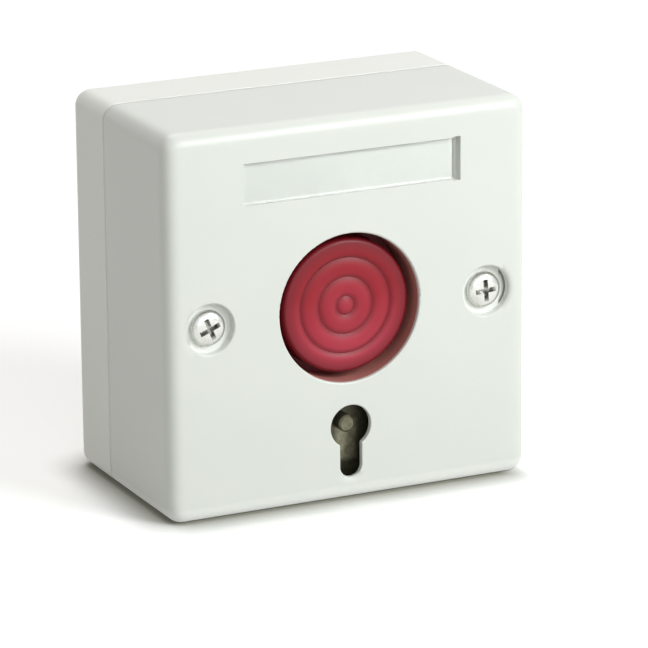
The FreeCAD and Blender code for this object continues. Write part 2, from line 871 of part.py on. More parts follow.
def release_slide():
    # a steel pressing: a plate with a keyhole window, a neck, and a tongue bent forwards
    head = rounded_block(-slide_half_width, slide_half_width, slide_front, slide_back,
                         slide_low, slide_high, slide_corner)
    neck = block(tongue_left, neck_right, slide_front, slide_back, tongue_z + step_height - overrun,
                 slide_low + neck_overlap)
    step = block(tongue_left, tongue_right, slide_front, slide_back, tongue_z, tongue_z + step_height)
    tongue = block(tongue_left, tongue_right, tongue_front, slide_front + bite, tongue_z,
                   tongue_z + slide_thickness)
    spigot = block(-spigot_half_width, spigot_half_width, slide_front, slide_back,
                   slide_high - bite, slide_high + spigot_length)
    body = join(head, [neck, step, tongue, spigot])
    outside = bend_edges(body, slide_back, tongue_z)
    body = body.makeFillet(slide_thickness + bend_inside, outside)
    inside = bend_edges(body, slide_front, tongue_z + slide_thickness)
    body = body.makeFillet(bend_inside, inside)
    wide = block(-window_wide_half, window_wide_half, slide_front - overrun, slide_back + overrun,
                 button_z - window_drop, button_z - window_step)
    narrow = block(-window_narrow_half, window_narrow_half, slide_front - overrun, slide_back + overrun,
                   button_z - window_drop, button_z)
    crown = rod(window_narrow_half, slide_front - overrun, slide_back + overrun, 0, button_z)
    return body.cut([wide, narrow, crown])


def bend_edges(shape, depth, z):
    # the edges across the tongue at one depth and height
    found = []
    for edge in level_edges(shape, depth):
        box = edge.BoundBox
        if abs(box.ZMin - z) < same and abs(box.ZMax - z) < same:
            found.append(edge)
    return found


def slide_spring():
    depth = (slide_front + slide_back) / 2
    start = point(0, depth, slide_high + spring_end_gap)
    length = slide_spring_length - 2 * spring_end_gap
    return coil(slide_coil_radius, slide_wire_radius, slide_spring_turns, length, start, upward)


def switch_base():
    screw_edge = switch_screw_x + frame_boss_radius + switch_edge_wall
    half = max(screw_edge, 1.5 * terminal_pitch + barrier_wall)
    low = arm_low - switch_margin
    body = rounded_block(-half, half, switch_front, switch_back, low, terminal_high,
                         frame_corner_radius)
    added = [block(-terminal_margin, terminal_margin, switch_back - bite, leaf_front,
                   terminal_z - pedestal_drop, terminal_high)]
    boss_radius = terminal_screw[2] + terminal_boss_wall
    boss_front = strip_back + clamp_thickness - terminal_screw[3] - terminal_boss_floor
    for index in (-1, 0, 1):
        added.append(rod(boss_radius, boss_front, switch_front + bite, index * terminal_pitch,
                         terminal_z))
    for index in (-1.5, -0.5, 0.5, 1.5):
        x = index * terminal_pitch
        added.append(block(x - barrier_wall / 2, x + barrier_wall / 2, switch_back - bite,
                           switch_back + barrier_height, terminal_z - barrier_drop, terminal_high))
    body = join(body, added)
    hole = plunger_radius + running_clearance
    removed = [rod(hole, switch_front - overrun, switch_back + overrun, 0, button_z)]
    for side in (-1, 1):
        hole = switch_screw[2] + screw_hole_clearance
        removed.append(rod(hole, switch_front - overrun, switch_back + overrun, side * switch_screw_x,
                           switch_screw_z))
    for index in (-1, 0, 1):
        removed.append(rod(terminal_screw[2] + thread_clearance, boss_front + terminal_hole_floor,
                           leaf_front + overrun, index * terminal_pitch, terminal_z))
    return body.cut(removed)


def switch_screws():
    screws = []
    for side in (-1, 1):
        screws.append(pan_screw(switch_screw, side * switch_screw_x, switch_screw_z, switch_back,
                                False, switch_screw_turn * side))
    return Part.makeCompound(screws)


def terminal_hole(x, front, back):
    return rod(terminal_screw[2] + screw_hole_clearance, front - overrun, back + overrun, x, terminal_z)


def common_leaf():
    leaf = block(-leaf_half_width, leaf_half_width, leaf_front, leaf_back, arm_low,
                 terminal_high - strip_end_gap)
    return leaf.cut(terminal_hole(0, leaf_front, leaf_back))


def closed_contact():
    # flat strip from the left terminal, with an arm that reaches under the leaf
    left = -terminal_pitch - strip_width / 2
    right = left + strip_width
    high = terminal_high - strip_end_gap
    outline = [(left, arm_low), (leaf_half_width, arm_low), (leaf_half_width, arm_high)]
    outline += [(right, arm_high), (right, high), (left, high)]
    strip = plate(outline, switch_back, strip_back)
    return strip.cut(terminal_hole(-terminal_pitch, switch_back, strip_back))


def open_contact():
    # strip from the right terminal, folded up and over so that its arm lies behind the leaf
    left = terminal_pitch - strip_width / 2
    right = left + strip_width
    strip = block(left, right, switch_back, strip_back, arm_low, terminal_high - strip_end_gap)
    open_arm_back = open_arm_front + strip_thickness
    outline = [(left, switch_back), (left + strip_thickness, switch_back)]
    outline += [(left + strip_thickness, open_arm_back), (-leaf_half_width, open_arm_back)]
    outline += [(-leaf_half_width, open_arm_front), (left, open_arm_front)]
    arm = upright(outline, arm_low, arm_high)
    return join(strip, [arm]).cut(terminal_hole(terminal_pitch, switch_back, strip_back))


def contact_rivets():
    closed = rod(rivet_radius, strip_back, leaf_front, 0, rivet_z)
    moving = rod(rivet_radius, leaf_back, leaf_back + rivet_height, 0, rivet_z)
    opened = rod(rivet_radius, open_rivet_front, open_arm_front, 0, rivet_z)
    return Part.makeCompound([closed, moving, opened])


def terminal_stacks():
    # the x and the depth on which each terminal's clamp lies
    return [(-terminal_pitch, strip_back), (0, leaf_back), (terminal_pitch, strip_back)]


def terminal_clamps():
    half = clamp_size / 2
    clamps = []
    for x, seat in terminal_stacks():
        clamp = block(x - half, x + half, seat, seat + clamp_thickness, terminal_z - half,
                      terminal_z + half)
        clamp = clamp.makeFillet(clamp_rounding, depth_edges(clamp))
        clamps.append(clamp.cut(terminal_hole(x, seat, seat + clamp_thickness)))
    return Part.makeCompound(clamps)


def terminal_screws():
    screws = []
    for index, (x, seat) in enumerate(terminal_stacks()):
        screws.append(pan_screw(terminal_screw, x, terminal_z, seat + clamp_thickness, False,
                                terminal_screw_turn + terminal_turn_step * index))
    return Part.makeCompound(screws)


subparts = [front_cover, back_box, cover_screws, screw_inserts, label_window, label_card,
            button_sleeve, button_cap, plunger, catch_clip, return_spring, mechanism_frame,
            frame_screws, lock_plate, lock_post, lock_screws, release_slide, slide_spring, switch_base,
            switch_screws, common_leaf, closed_contact, open_contact, contact_rivets,
            terminal_clamps, terminal_screws]


def main():
    os.makedirs("parts", exist_ok=True)
    for make in subparts:
        shape = make()
        shape.exportStep("parts/" + make.__name__ + ".step")
        print(make.__name__, len(shape.Solids), "solid(s),", round(shape.Volume, 1), "mm3")


main()
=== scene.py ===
import json
import math

import bmesh
import bpy
from mathutils import Matrix, Vector


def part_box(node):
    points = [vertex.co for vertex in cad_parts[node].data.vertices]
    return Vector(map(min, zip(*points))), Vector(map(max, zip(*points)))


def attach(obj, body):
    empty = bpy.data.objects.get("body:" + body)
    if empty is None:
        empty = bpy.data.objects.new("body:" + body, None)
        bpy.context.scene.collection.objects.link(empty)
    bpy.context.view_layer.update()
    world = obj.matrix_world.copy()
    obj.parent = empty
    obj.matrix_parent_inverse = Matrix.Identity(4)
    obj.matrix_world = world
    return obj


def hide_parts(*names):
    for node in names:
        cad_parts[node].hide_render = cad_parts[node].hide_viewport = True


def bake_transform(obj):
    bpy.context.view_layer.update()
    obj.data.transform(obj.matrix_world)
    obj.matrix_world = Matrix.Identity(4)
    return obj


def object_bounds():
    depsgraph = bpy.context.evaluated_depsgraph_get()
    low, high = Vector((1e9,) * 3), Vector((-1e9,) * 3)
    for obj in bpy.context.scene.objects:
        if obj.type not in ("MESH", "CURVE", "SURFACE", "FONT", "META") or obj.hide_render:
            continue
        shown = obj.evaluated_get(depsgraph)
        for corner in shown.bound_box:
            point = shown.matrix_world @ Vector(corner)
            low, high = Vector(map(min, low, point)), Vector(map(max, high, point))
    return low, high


# The looks of a wall panic button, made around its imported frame.
# Everything is in metres. X runs to the right, Y from the front face to the wall, Z up.

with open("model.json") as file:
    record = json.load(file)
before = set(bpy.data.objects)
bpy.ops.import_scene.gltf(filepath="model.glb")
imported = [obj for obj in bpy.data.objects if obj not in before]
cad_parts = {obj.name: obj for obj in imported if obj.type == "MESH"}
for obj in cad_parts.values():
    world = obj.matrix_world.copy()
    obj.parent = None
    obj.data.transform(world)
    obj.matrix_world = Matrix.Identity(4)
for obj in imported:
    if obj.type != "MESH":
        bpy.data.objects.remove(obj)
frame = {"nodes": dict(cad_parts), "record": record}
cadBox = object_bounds()
partMiddle = (cadBox[0] + cadBox[1]) / 2
mm = 0.001
turn = 2 * math.pi
print("frame loaded:", len(frame["nodes"]), "nodes")


# Small helpers for building node trees

def feed(tree, socket, value):
    # a link where the value comes from another node, or else a fixed value
    if isinstance(value, bpy.types.NodeSocket):
        tree.links.new(value, socket)
    else:
        socket.default_value = value


def addNode(tree, kind, place, inputs=None, **settings):
    node = tree.nodes.new(kind)
    node.location = place
    for setting, value in settings.items():
        setattr(node, setting, value)
    for socket, value in (inputs or {}).items():
        feed(tree, node.inputs[socket], value)
    return node


def newMaterial(name):
    # a material that has only its output so far
    material = bpy.data.materials.new(name)
    material.use_nodes = True
    tree = material.node_tree
    tree.nodes.clear()
    output = addNode(tree, "ShaderNodeOutputMaterial", (900, 0))
    return material, tree, output.inputs["Surface"]


def newShaded(name):
    material, tree, surface = newMaterial(name)
    shader = addNode(tree, "ShaderNodeBsdfPrincipled", (600, 0))
    feed(tree, surface, shader.outputs["BSDF"])
    return material, tree, shader


def addMath(tree, operation, place, first, second=0.0, clamp=False):
    node = addNode(tree, "ShaderNodeMath", place, {0: first, 1: second}, operation=operation,
                   use_clamp=clamp)
    return node.outputs[0]


def mixTwo(tree, place, factor, first, second, kind="Color"):
    # the sockets of a mix node share their names, so each is found by its identifier
    node = addNode(tree, "ShaderNodeMix", place,
                   data_type={"Color": "RGBA", "Vector": "VECTOR"}[kind])
    for name, value in (("Factor_Float", factor), ("A_" + kind, first), ("B_" + kind, second)):
        feed(tree, next(one for one in node.inputs if one.identifier == name), value)
    return next(one for one in node.outputs if one.identifier == "Result_" + kind)


def fitRange(tree, place, value, low, high, newLow=0.0, newHigh=1.0):
    node = addNode(tree, "ShaderNodeMapRange", place,
                   {"Value": value, "From Min": low, "From Max": high, "To Min": newLow,
                    "To Max": newHigh}, clamp=True)
    return node.outputs["Result"]


def addNoise(tree, place, vector, size, detail, roughness=0.5):
    # noise with patches of about a given size
    scale = addMath(tree, "DIVIDE", (place[0] - 250, place[1]), 1.0, size)
    node = addNode(tree, "ShaderNodeTexNoise", place,
                   {"Vector": vector, "Scale": scale, "Detail": detail, "Roughness": roughness})
    return node.outputs["Fac"]


def newGroup(name, sizes, results, kind="NodeSocketFloat"):
    # a group that is given a place and some sizes
    group = bpy.data.node_groups.new(name, "ShaderNodeTree")
    group.interface.new_socket(name="Vector", in_out="INPUT", socket_type="NodeSocketVector")
    for label, value in sizes.items():
        socket = group.interface.new_socket(name=label, in_out="INPUT",
                                            socket_type="NodeSocketFloat")
        socket.default_value = value
    for label in results:
        group.interface.new_socket(name=label, in_out="OUTPUT", socket_type=kind)
    start = addNode(group, "NodeGroupInput", (-900, 0))
    end = addNode(group, "NodeGroupOutput", (700, 0))
    return group, start.outputs, end.inputs


def useGroup(tree, group, place, inputs):
    return addNode(tree, "ShaderNodeGroup", place, inputs, node_tree=group).outputs


def objectPlace(tree, centre=(0.0, 0.0, 0.0), rotation=(0.0, 0.0, 0.0)):
    # the place on the piece, in metres, measured from a centre
    source = addNode(tree, "ShaderNodeTexCoord", (-1100, 0))
    centred = addNode(tree, "ShaderNodeMapping", (-900, 0),
                      {"Vector": source.outputs["Object"], "Location": [-one for one in centre],
                       "Rotation": rotation})
    return centred.outputs["Vector"]


def splitPlace(tree, vector):
    return addNode(tree, "ShaderNodeSeparateXYZ", (-50, 650), {"Vector": vector}).outputs


def squareReach(tree, place, across, upward):
    # how far a place lies from the middle of a square face, towards its nearest edge
    first = addMath(tree, "ABSOLUTE", place, across)
    second = addMath(tree, "ABSOLUTE", (place[0], place[1] - 150), upward)
    return addMath(tree, "MAXIMUM", (place[0] + 200, place[1]), first, second)


def rgb(red, green, blue):
    # a colour as it is read off a screen, 0 to 255, made linear
    values = []
    for part in (red, green, blue):
        share = part / 255
        values.append(share / 12.92 if share <= 0.04045 else ((share + 0.055) / 1.055) ** 2.4)
    return (values[0], values[1], values[2], 1.0)


# Effects that several finishes share

speckLook = {"spread": 0.32, "size": 0.22, "rareFrom": 0.8, "rareTo": 0.9}


def makeMouldGrain():
    # the fine skin of a moulded surface, slow clouds of tone, and a few specks
    group, given, result = newGroup("mouldGrain", {"Grain Size": 0.4 * mm, "Cloud Size": 30 * mm},
                                    ("Grain", "Cloud", "Speck"))
    vector = given["Vector"]
    grain = addNoise(group, (-400, 150), vector, given["Grain Size"], detail=3.0, roughness=0.55)
    cloud = addNoise(group, (-400, -50), vector, given["Cloud Size"], detail=4.0, roughness=0.6)
    scale = addMath(group, "DIVIDE", (-650, -250), speckLook["spread"], given["Grain Size"])
    speck = addNode(group, "ShaderNodeTexVoronoi", (-400, -250), {"Vector": vector, "Scale": scale})
    near = fitRange(group, (-150, -250), speck.outputs["Distance"], 0.0, speckLook["size"], 1.0, 0.0)
    rare = fitRange(group, (-150, -450), speck.outputs["Color"], speckLook["rareFrom"],
                    speckLook["rareTo"])
    feed(group, result["Grain"], grain)
    feed(group, result["Cloud"], cloud)
    feed(group, result["Speck"], addMath(group, "MULTIPLY", (100, -300), near, rare, True))
    return group


wearLook = {"flat": 0.99, "sharp": 0.86, "patchFrom": 0.42, "patchTo": 0.62, "least": 0.15}


def makeEdgeMask():
    # where an edge has been handled: the bevelled normal leaves the true one
    group, given, result = newGroup("edgeMask", {"Width": 0.4 * mm, "Breakup Size": 3 * mm},
                                    ("Edge",))
    soft = addNode(group, "ShaderNodeBevel", (-650, 150), {"Radius": given["Width"]}, samples=6)
    true = addNode(group, "ShaderNodeNewGeometry", (-650, -50))
    angle = addNode(group, "ShaderNodeVectorMath", (-400, 100),
                    {0: soft.outputs["Normal"], 1: true.outputs["Normal"]},
                    operation="DOT_PRODUCT")
    edge = fitRange(group, (-150, 100), angle.outputs["Value"], wearLook["flat"],
                    wearLook["sharp"])
    patches = addNoise(group, (-400, -250), given["Vector"], given["Breakup Size"], detail=5.0,
                       roughness=0.65)
    broken = fitRange(group, (-150, -250), patches, wearLook["patchFrom"], wearLook["patchTo"],
                      wearLook["least"])
    feed(group, result["Edge"], addMath(group, "MULTIPLY", (200, 0), edge, broken, True))
    return group


dustAndShadeLook = {"deep": 0.35, "open": 0.85, "patchFrom": 0.35, "patchTo": 0.7, "least": 0.4}


def makeCreviceDustAndShade():
    # dust and painted shade where surfaces meet: ambient occlusion darkens the colour there
    group, given, result = newGroup("creviceDustAndShade", {"Reach": 1.5 * mm, "Patch Size": 4 * mm},
                                    ("Dust And Shade",))
    hollow = addNode(group, "ShaderNodeAmbientOcclusion", (-650, 150),
                     {"Distance": given["Reach"]}, samples=8)
    deep = fitRange(group, (-400, 150), hollow.outputs["AO"], dustAndShadeLook["deep"], dustAndShadeLook["open"],
                    1.0, 0.0)
    patches = addNoise(group, (-400, -200), given["Vector"], given["Patch Size"], detail=4.0)
    broken = fitRange(group, (-150, -200), patches, dustAndShadeLook["patchFrom"], dustAndShadeLook["patchTo"],
                      dustAndShadeLook["least"])
    feed(group, result["Dust And Shade"], addMath(group, "MULTIPLY", (200, 0), deep, broken, True))
    return group


lineStretch = (1.0, 1.0, 0.06)


def makeMetalMarks():
    # fine drawn lines along one direction, with stains over them
    group, given, result = newGroup("metalMarks", {"Line Size": 0.15 * mm, "Stain Size": 3 * mm},
                                    ("Lines", "Stain"))
    stretched = addNode(group, "ShaderNodeVectorMath", (-700, 300),
                        {0: given["Vector"], 1: lineStretch}, operation="MULTIPLY")
    lines = addNoise(group, (-400, 150), stretched.outputs["Vector"], given["Line Size"],
                     detail=2.0)
    stain = addNoise(group, (-400, -150), given["Vector"], given["Stain Size"], detail=6.0,
                     roughness=0.6)
    feed(group, result["Lines"], lines)
    feed(group, result["Stain"], stain)
    return group


def makeRingGrooves():
    # 1 in the grooves of a ringed disc and 0 on its crowns, about an axis along Y
    group, given, result = newGroup(
        "ringGrooves", {"First": 2 * mm, "Pitch": 4 * mm, "Width": 0.8 * mm}, ("Groove", "Radius"))
    flat = addNode(group, "ShaderNodeVectorMath", (-700, 0),
                   {0: given["Vector"], 1: (1.0, 0.0, 1.0)}, operation="MULTIPLY")
    radius = addNode(group, "ShaderNodeVectorMath", (-500, 0), {0: flat.outputs["Vector"]},
                     operation="LENGTH").outputs["Value"]
    past = addMath(group, "SUBTRACT", (-300, 0), radius, given["First"])
    half = addMath(group, "MULTIPLY", (-300, -200), given["Pitch"], 0.5)
    gap = addMath(group, "PINGPONG", (-100, 0), past, half)
    feed(group, result["Groove"], fitRange(group, (150, 0), gap, 0.0, given["Width"], 1.0, 0.0))
    feed(group, result["Radius"], radius)
    return group


def makeRollEdges():
    # the normal rolls on past the rounding at the outline of the front, and stays true elsewhere
    group, given, result = newGroup(
        "rollEdges", {"Radius": 3 * mm, "Half Width": 40 * mm, "Band": 6 * mm}, ("Normal",),
        "NodeSocketVector")
    soft = addNode(group, "ShaderNodeBevel", (-650, 200), {"Radius": given["Radius"]}, samples=8)
    true = addNode(group, "ShaderNodeNewGeometry", (-650, 0))
    place = splitPlace(group, given["Vector"])
    reach = squareReach(group, (-450, -150), place["X"], place["Z"])
    inner = addMath(group, "SUBTRACT", (-250, -400), given["Half Width"], given["Band"])
    near = addMath(group, "GREATER_THAN", (-50, -250), reach, inner)
    feed(group, result["Normal"], mixTwo(group, (200, 100), near, true.outputs["Normal"],
                                         soft.outputs["Normal"], "Vector"))
    return group


mouldGrain = makeMouldGrain()
edgeMask = makeEdgeMask()
creviceDustAndShade = makeCreviceDustAndShade()
metalMarks = makeMetalMarks()
ringGrooves = makeRingGrooves()
rollEdges = makeRollEdges()


# Finishes

noiseSpan = (0.3, 0.7)  # most of a noise's values lie between these
stainSpan = (0.35, 0.7)
grainRelief = 0.2  # the relief's height, as a share of the size of its marks
lineRelief = 0.3
plasticIor = 1.5


def wearTone(tree, look, place, tone):
    # worn edges, then dust and painted shade in the crevices; the dust dulls them too
    edge = useGroup(tree, edgeMask, (-650, -50),
                    {"Vector": place, "Width": look["edgeWidth"],
                     "Breakup Size": look["edgeBreak"]})
    dustAndShadeMasks = useGroup(tree, creviceDustAndShade, (-650, -300),
                    {"Vector": place, "Reach": look["dustAndShadeReach"],
                     "Patch Size": look["dustAndShadePatch"]})
    worn = addMath(tree, "MULTIPLY", (-200, -100), edge["Edge"], look["edgeShare"])
    tone = mixTwo(tree, (200, 250), worn, tone, look["edgeTone"])
    dustAndShade = addMath(tree, "MULTIPLY", (-200, -250), dustAndShadeMasks["Dust And Shade"], look["dustAndShadeShare"])
    return mixTwo(tree, (400, 250), dustAndShade, tone, look["dustAndShadeTone"]), dustAndShade


def closeFinish(tree, shader, look, tone, dustAndShade, fine, relief):
    # the colour, the gloss and the fine relief go into the shader
    feed(tree, shader.inputs["Base Color"], tone)
    gloss = fitRange(tree, (0, 0), fine, *noiseSpan, look["roughness"] - look["glossier"],
                     look["roughness"] + look["duller"])
    feed(tree, shader.inputs["Roughness"], addMath(tree, "MAXIMUM", (200, 0), gloss, dustAndShade))
    bump = addNode(tree, "ShaderNodeBump", (300, -300),
                   {"Height": fine, "Strength": look["bump"], "Distance": relief})
    feed(tree, shader.inputs["Normal"], bump.outputs["Normal"])
    return bump


def mouldedPlastic(name, look, extra=None):
    # a moulded plastic: faint clouds, a few specks, orange-peel grain, worn edges
    material, tree, shader = newShaded(name)
    place = objectPlace(tree)
    grain = useGroup(tree, mouldGrain, (-650, 200),
                     {"Vector": place, "Grain Size": look["grainSize"],
                      "Cloud Size": look["cloudSize"]})
    cloud = fitRange(tree, (-400, 250), grain["Cloud"], *noiseSpan)
    tone = mixTwo(tree, (-200, 250), cloud, look["tone"], look["otherTone"])
    specks = addMath(tree, "MULTIPLY", (-200, 50), grain["Speck"], look["speckShare"])
    tone = mixTwo(tree, (0, 250), specks, tone, look["speckTone"])
    tone, dustAndShade = wearTone(tree, look, place, tone)
    if extra:
        tone = extra(tree, tone)
    bump = closeFinish(tree, shader, look, tone, dustAndShade, grain["Grain"],
                       look["grainSize"] * grainRelief)
    if look.get("roll"):
        rolled = useGroup(tree, rollEdges, (50, -450),
                          {"Vector": objectPlace(tree, centre=partMiddle), "Radius": look["roll"],
                           "Half Width": cadBox[1].x})
        feed(tree, bump.inputs["Normal"], rolled["Normal"])
    shader.inputs["IOR"].default_value = plasticIor
    shader.inputs["Specular IOR Level"].default_value = look["mirror"]
    return material


def metalFinish(name, look, extra=None):
    # a plated, drawn or turned metal with drawn lines and stains
    material, tree, shader = newShaded(name)
    place = objectPlace(tree, rotation=look["lineTurn"])
    marks = useGroup(tree, metalMarks, (-650, 200),
                     {"Vector": place, "Line Size": look["lineSize"],
                      "Stain Size": look["stainSize"]})
    stain = fitRange(tree, (-400, 250), marks["Stain"], *stainSpan)
    tone = mixTwo(tree, (-200, 250), stain, look["tone"], look["stainTone"])
    tone, dustAndShade = wearTone(tree, look, place, tone)
    if extra:
        tone = extra(tree, tone)
    closeFinish(tree, shader, look, tone, dustAndShade, marks["Lines"], look["lineSize"] * lineRelief)
    shader.inputs["Metallic"].default_value = look["metallic"]
    return material


# in each look the dust tone and share paint shade into the crevices as well as dust
coverLook = {
    "tone": rgb(226, 227, 222), "otherTone": rgb(223, 225, 219), "speckTone": rgb(196, 197, 190),
    "edgeTone": rgb(236, 237, 232), "dustAndShadeTone": rgb(178, 177, 164), "grainSize": 0.35 * mm,
    "cloudSize": 24 * mm, "speckShare": 0.12, "edgeShare": 0.35, "edgeWidth": 0.5 * mm,
    "edgeBreak": 3 * mm, "dustAndShadeShare": 0.22, "dustAndShadeReach": 1.2 * mm, "dustAndShadePatch": 4 * mm,
    "roughness": 0.34, "glossier": 0.04, "duller": 0.05, "bump": 0.12, "mirror": 0.5,
}
frontLook = dict(coverLook, roll=2.4 * mm)
boxLook = dict(coverLook, tone=rgb(240, 240, 235), otherTone=rgb(237, 238, 232), bump=0.18,
               roughness=0.4)
redLook = dict(coverLook, tone=rgb(151, 15, 33), otherTone=rgb(143, 11, 29),
               speckTone=rgb(112, 12, 24), edgeTone=rgb(184, 54, 68), dustAndShadeTone=rgb(96, 18, 28),
               grainSize=0.3 * mm, cloudSize=9 * mm, speckShare=0.2, edgeWidth=0.25 * mm,
               dustAndShadeShare=0.45, dustAndShadeReach=1.0 * mm, roughness=0.46, mirror=0.38)
nylonLook = dict(coverLook, tone=rgb(222, 217, 203), otherTone=rgb(214, 209, 194),
                 dustAndShadeTone=rgb(150, 145, 128), roughness=0.45)
blackLook = dict(coverLook, tone=rgb(38, 38, 37), otherTone=rgb(30, 30, 30),
                 speckTone=rgb(70, 70, 68), edgeTone=rgb(86, 86, 84), dustAndShadeTone=rgb(70, 68, 62),
                 roughness=0.45, bump=0.25)
# painted light: the sleeve's red-brown tones stand for the cap's red light bounced into its shaded gap
sleeveBounceLook = dict(blackLook, tone=rgb(204, 132, 124), otherTone=rgb(196, 124, 116),
                  speckTone=rgb(186, 130, 122), edgeTone=rgb(196, 140, 132),
                  dustAndShadeTone=rgb(132, 84, 76))
creamLook = dict(coverLook, tone=rgb(203, 190, 158), otherTone=rgb(194, 180, 147),
                 speckTone=rgb(150, 130, 96), edgeTone=rgb(221, 211, 185),
                 dustAndShadeTone=rgb(132, 118, 92), roughness=0.5, bump=0.25)
cardLook = dict(coverLook, tone=rgb(196, 199, 194), otherTone=rgb(192, 195, 190),
                speckTone=rgb(214, 216, 208), grainSize=0.12 * mm, roughness=0.8, bump=0.4)
zincLook = {
    "tone": rgb(214, 214, 210), "stainTone": rgb(190, 190, 184), "edgeTone": rgb(238, 238, 236),
    "dustAndShadeTone": rgb(74, 72, 66), "lineSize": 0.12 * mm, "stainSize": 1.6 * mm,
    "lineTurn": (0.0, 0.6, 0.0), "edgeWidth": 0.12 * mm, "edgeShare": 0.5, "edgeBreak": 1 * mm,
    "dustAndShadeShare": 0.7, "dustAndShadeReach": 0.8 * mm, "dustAndShadePatch": 2 * mm, "roughness": 0.26,
    "glossier": 0.08, "duller": 0.1, "bump": 0.25, "metallic": 1.0,
}
headLook = dict(zincLook, stainTone=rgb(202, 202, 197), dustAndShadeTone=rgb(150, 149, 142), dustAndShadeShare=0.4)
platedLook = dict(zincLook, tone=rgb(186, 186, 178), stainTone=rgb(160, 158, 146), roughness=0.36)
springLook = dict(zincLook, tone=rgb(150, 149, 145), stainTone=rgb(120, 118, 112), roughness=0.3)
lockLook = dict(zincLook, tone=rgb(122, 118, 98), stainTone=rgb(86, 82, 64),
                edgeTone=rgb(168, 164, 144), dustAndShadeTone=rgb(34, 31, 22), roughness=0.4,
                stainSize=1.1 * mm, metallic=0.75)
# painted light: a paler copy of the lock steel, for the strip painted lit under the post
plateLitLook = dict(lockLook, tone=rgb(172, 168, 144), stainTone=rgb(130, 126, 104))
brassLook = dict(zincLook, tone=rgb(216, 186, 112), stainTone=rgb(176, 140, 78),
                 edgeTone=rgb(238, 216, 156), roughness=0.3)
stripLook = dict(brassLook, tone=rgb(206, 164, 104), stainTone=rgb(164, 118, 70))
silverLook = dict(zincLook, tone=rgb(226, 226, 222), stainTone=rgb(196, 194, 186), roughness=0.2)


# The rings of the cap, which its shape follows too

capRings = {"first": 2.1 * mm, "pitch": 4.3 * mm}
# painted light and shade on the cap: the tone darkens grooves and rim, the pale tone lights middle and
# lower half
capPaintedLightLook = {"width": 1.1 * mm, "share": 0.75, "rimStart": 11.2 * mm, "rimEnd": 14.8 * mm,
            "rimShare": 0.95, "tone": rgb(108, 9, 24), "paleFrom": 3.5 * mm, "paleTo": -9.0 * mm,
            "paleShare": 0.6, "middle": 2.0 * mm, "middleEnd": 9.5 * mm, "middleShare": 0.4,
            "paleTone": rgb(190, 61, 81)}


def capPaintedLightAndShade(tree, tone):
    # painted light pales the cap in its middle and its lower half, and painted shade darkens its
    # grooves and its rim
    look = capPaintedLightLook
    low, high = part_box("button_cap")
    place = objectPlace(tree, centre=(low + high) / 2)
    rings = useGroup(tree, ringGrooves, (200, 550),
                     {"Vector": place, "First": capRings["first"], "Pitch": capRings["pitch"],
                      "Width": look["width"]})
    lower = fitRange(tree, (250, 900), splitPlace(tree, place)["Z"], look["paleTo"],
                     look["paleFrom"], look["paleShare"], 0.0)
    inner = fitRange(tree, (250, 1050), rings["Radius"], look["middle"], look["middleEnd"],
                     look["middleShare"], 0.0)
    pale = addMath(tree, "MAXIMUM", (350, 950), lower, inner)
    tone = mixTwo(tree, (400, 900), pale, tone, look["paleTone"])
    grooves = addMath(tree, "MULTIPLY", (350, 550), rings["Groove"], look["share"])
    rim = fitRange(tree, (350, 750), rings["Radius"], look["rimStart"], look["rimEnd"],
                   0.0, look["rimShare"])
    share = addMath(tree, "MAXIMUM", (420, 650), grooves, rim)
    return mixTwo(tree, (500, 450), share, tone, look["tone"])


# painted light: the tone lifts the shade of the wells, and the foot tone stands for light from the
# floor
hollowLightLook = {"start": 0.25 * mm, "full": 0.6 * mm, "reach": 40.4 * mm, "tone": rgb(238, 239, 235),
              "foot": 1.2 * mm, "footEnd": 3.6 * mm, "footTone": rgb(254, 254, 251)}


def paintedLightInHollows(tree, tone):
    # painted light: a paler tone in the shallow wells of the front, lifting their shade, and round its
    # foot, standing for light from the floor
    look = hollowLightLook
    middle = partMiddle
    place = splitPlace(tree, objectPlace(tree, centre=(middle.x, cadBox[0].y, middle.z)))
    inside = fitRange(tree, (200, 650), place["Y"], look["start"], look["full"])
    reach = squareReach(tree, (200, 850), place["X"], place["Z"])
    within = addMath(tree, "LESS_THAN", (500, 800), reach, look["reach"])
    share = addMath(tree, "MULTIPLY", (600, 700), inside, within)
    foot = fitRange(tree, (500, 600), place["Z"], look["foot"] - middle.z,
                    look["footEnd"] - middle.z, 1.0, 0.0)
    tone = mixTwo(tree, (700, 500), share, tone, look["tone"])
    return mixTwo(tree, (850, 500), foot, tone, look["footTone"])


# painted shade: the tone darkens the cross recesses of the screw heads
crossShadeLook = {"radius": 3.3 * mm, "start": 0.5 * mm, "full": 0.8 * mm, "share": 0.5,
              "tone": rgb(58, 56, 52)}


def paintedShadeInCrosses(tree, tone):
    # painted shade in the cross recesses of the two cover screws, whose heads are as wide as their box
    # is high
    look = crossShadeLook
    low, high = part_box("cover_screws")
    middle = (low + high) / 2
    away = (high.x - low.x) / 2 - (high.z - low.z) / 2
    place = splitPlace(tree, objectPlace(tree, centre=(middle.x, low.y, middle.z)))
    aside = addMath(tree, "SUBTRACT", (350, 750),
                    addMath(tree, "ABSOLUTE", (200, 750), place["X"]), away)
    flat = addNode(tree, "ShaderNodeCombineXYZ", (450, 650), {"X": aside, "Z": place["Z"]})
    radius = addNode(tree, "ShaderNodeVectorMath", (600, 650), {0: flat.outputs["Vector"]},
                     operation="LENGTH").outputs["Value"]
    near = addMath(tree, "LESS_THAN", (700, 650), radius, look["radius"])
    deep = fitRange(tree, (700, 800), place["Y"], look["start"], look["full"], 0.0, look["share"])
    share = addMath(tree, "MULTIPLY", (800, 700), near, deep)
    return mixTwo(tree, (900, 500), share, tone, look["tone"])


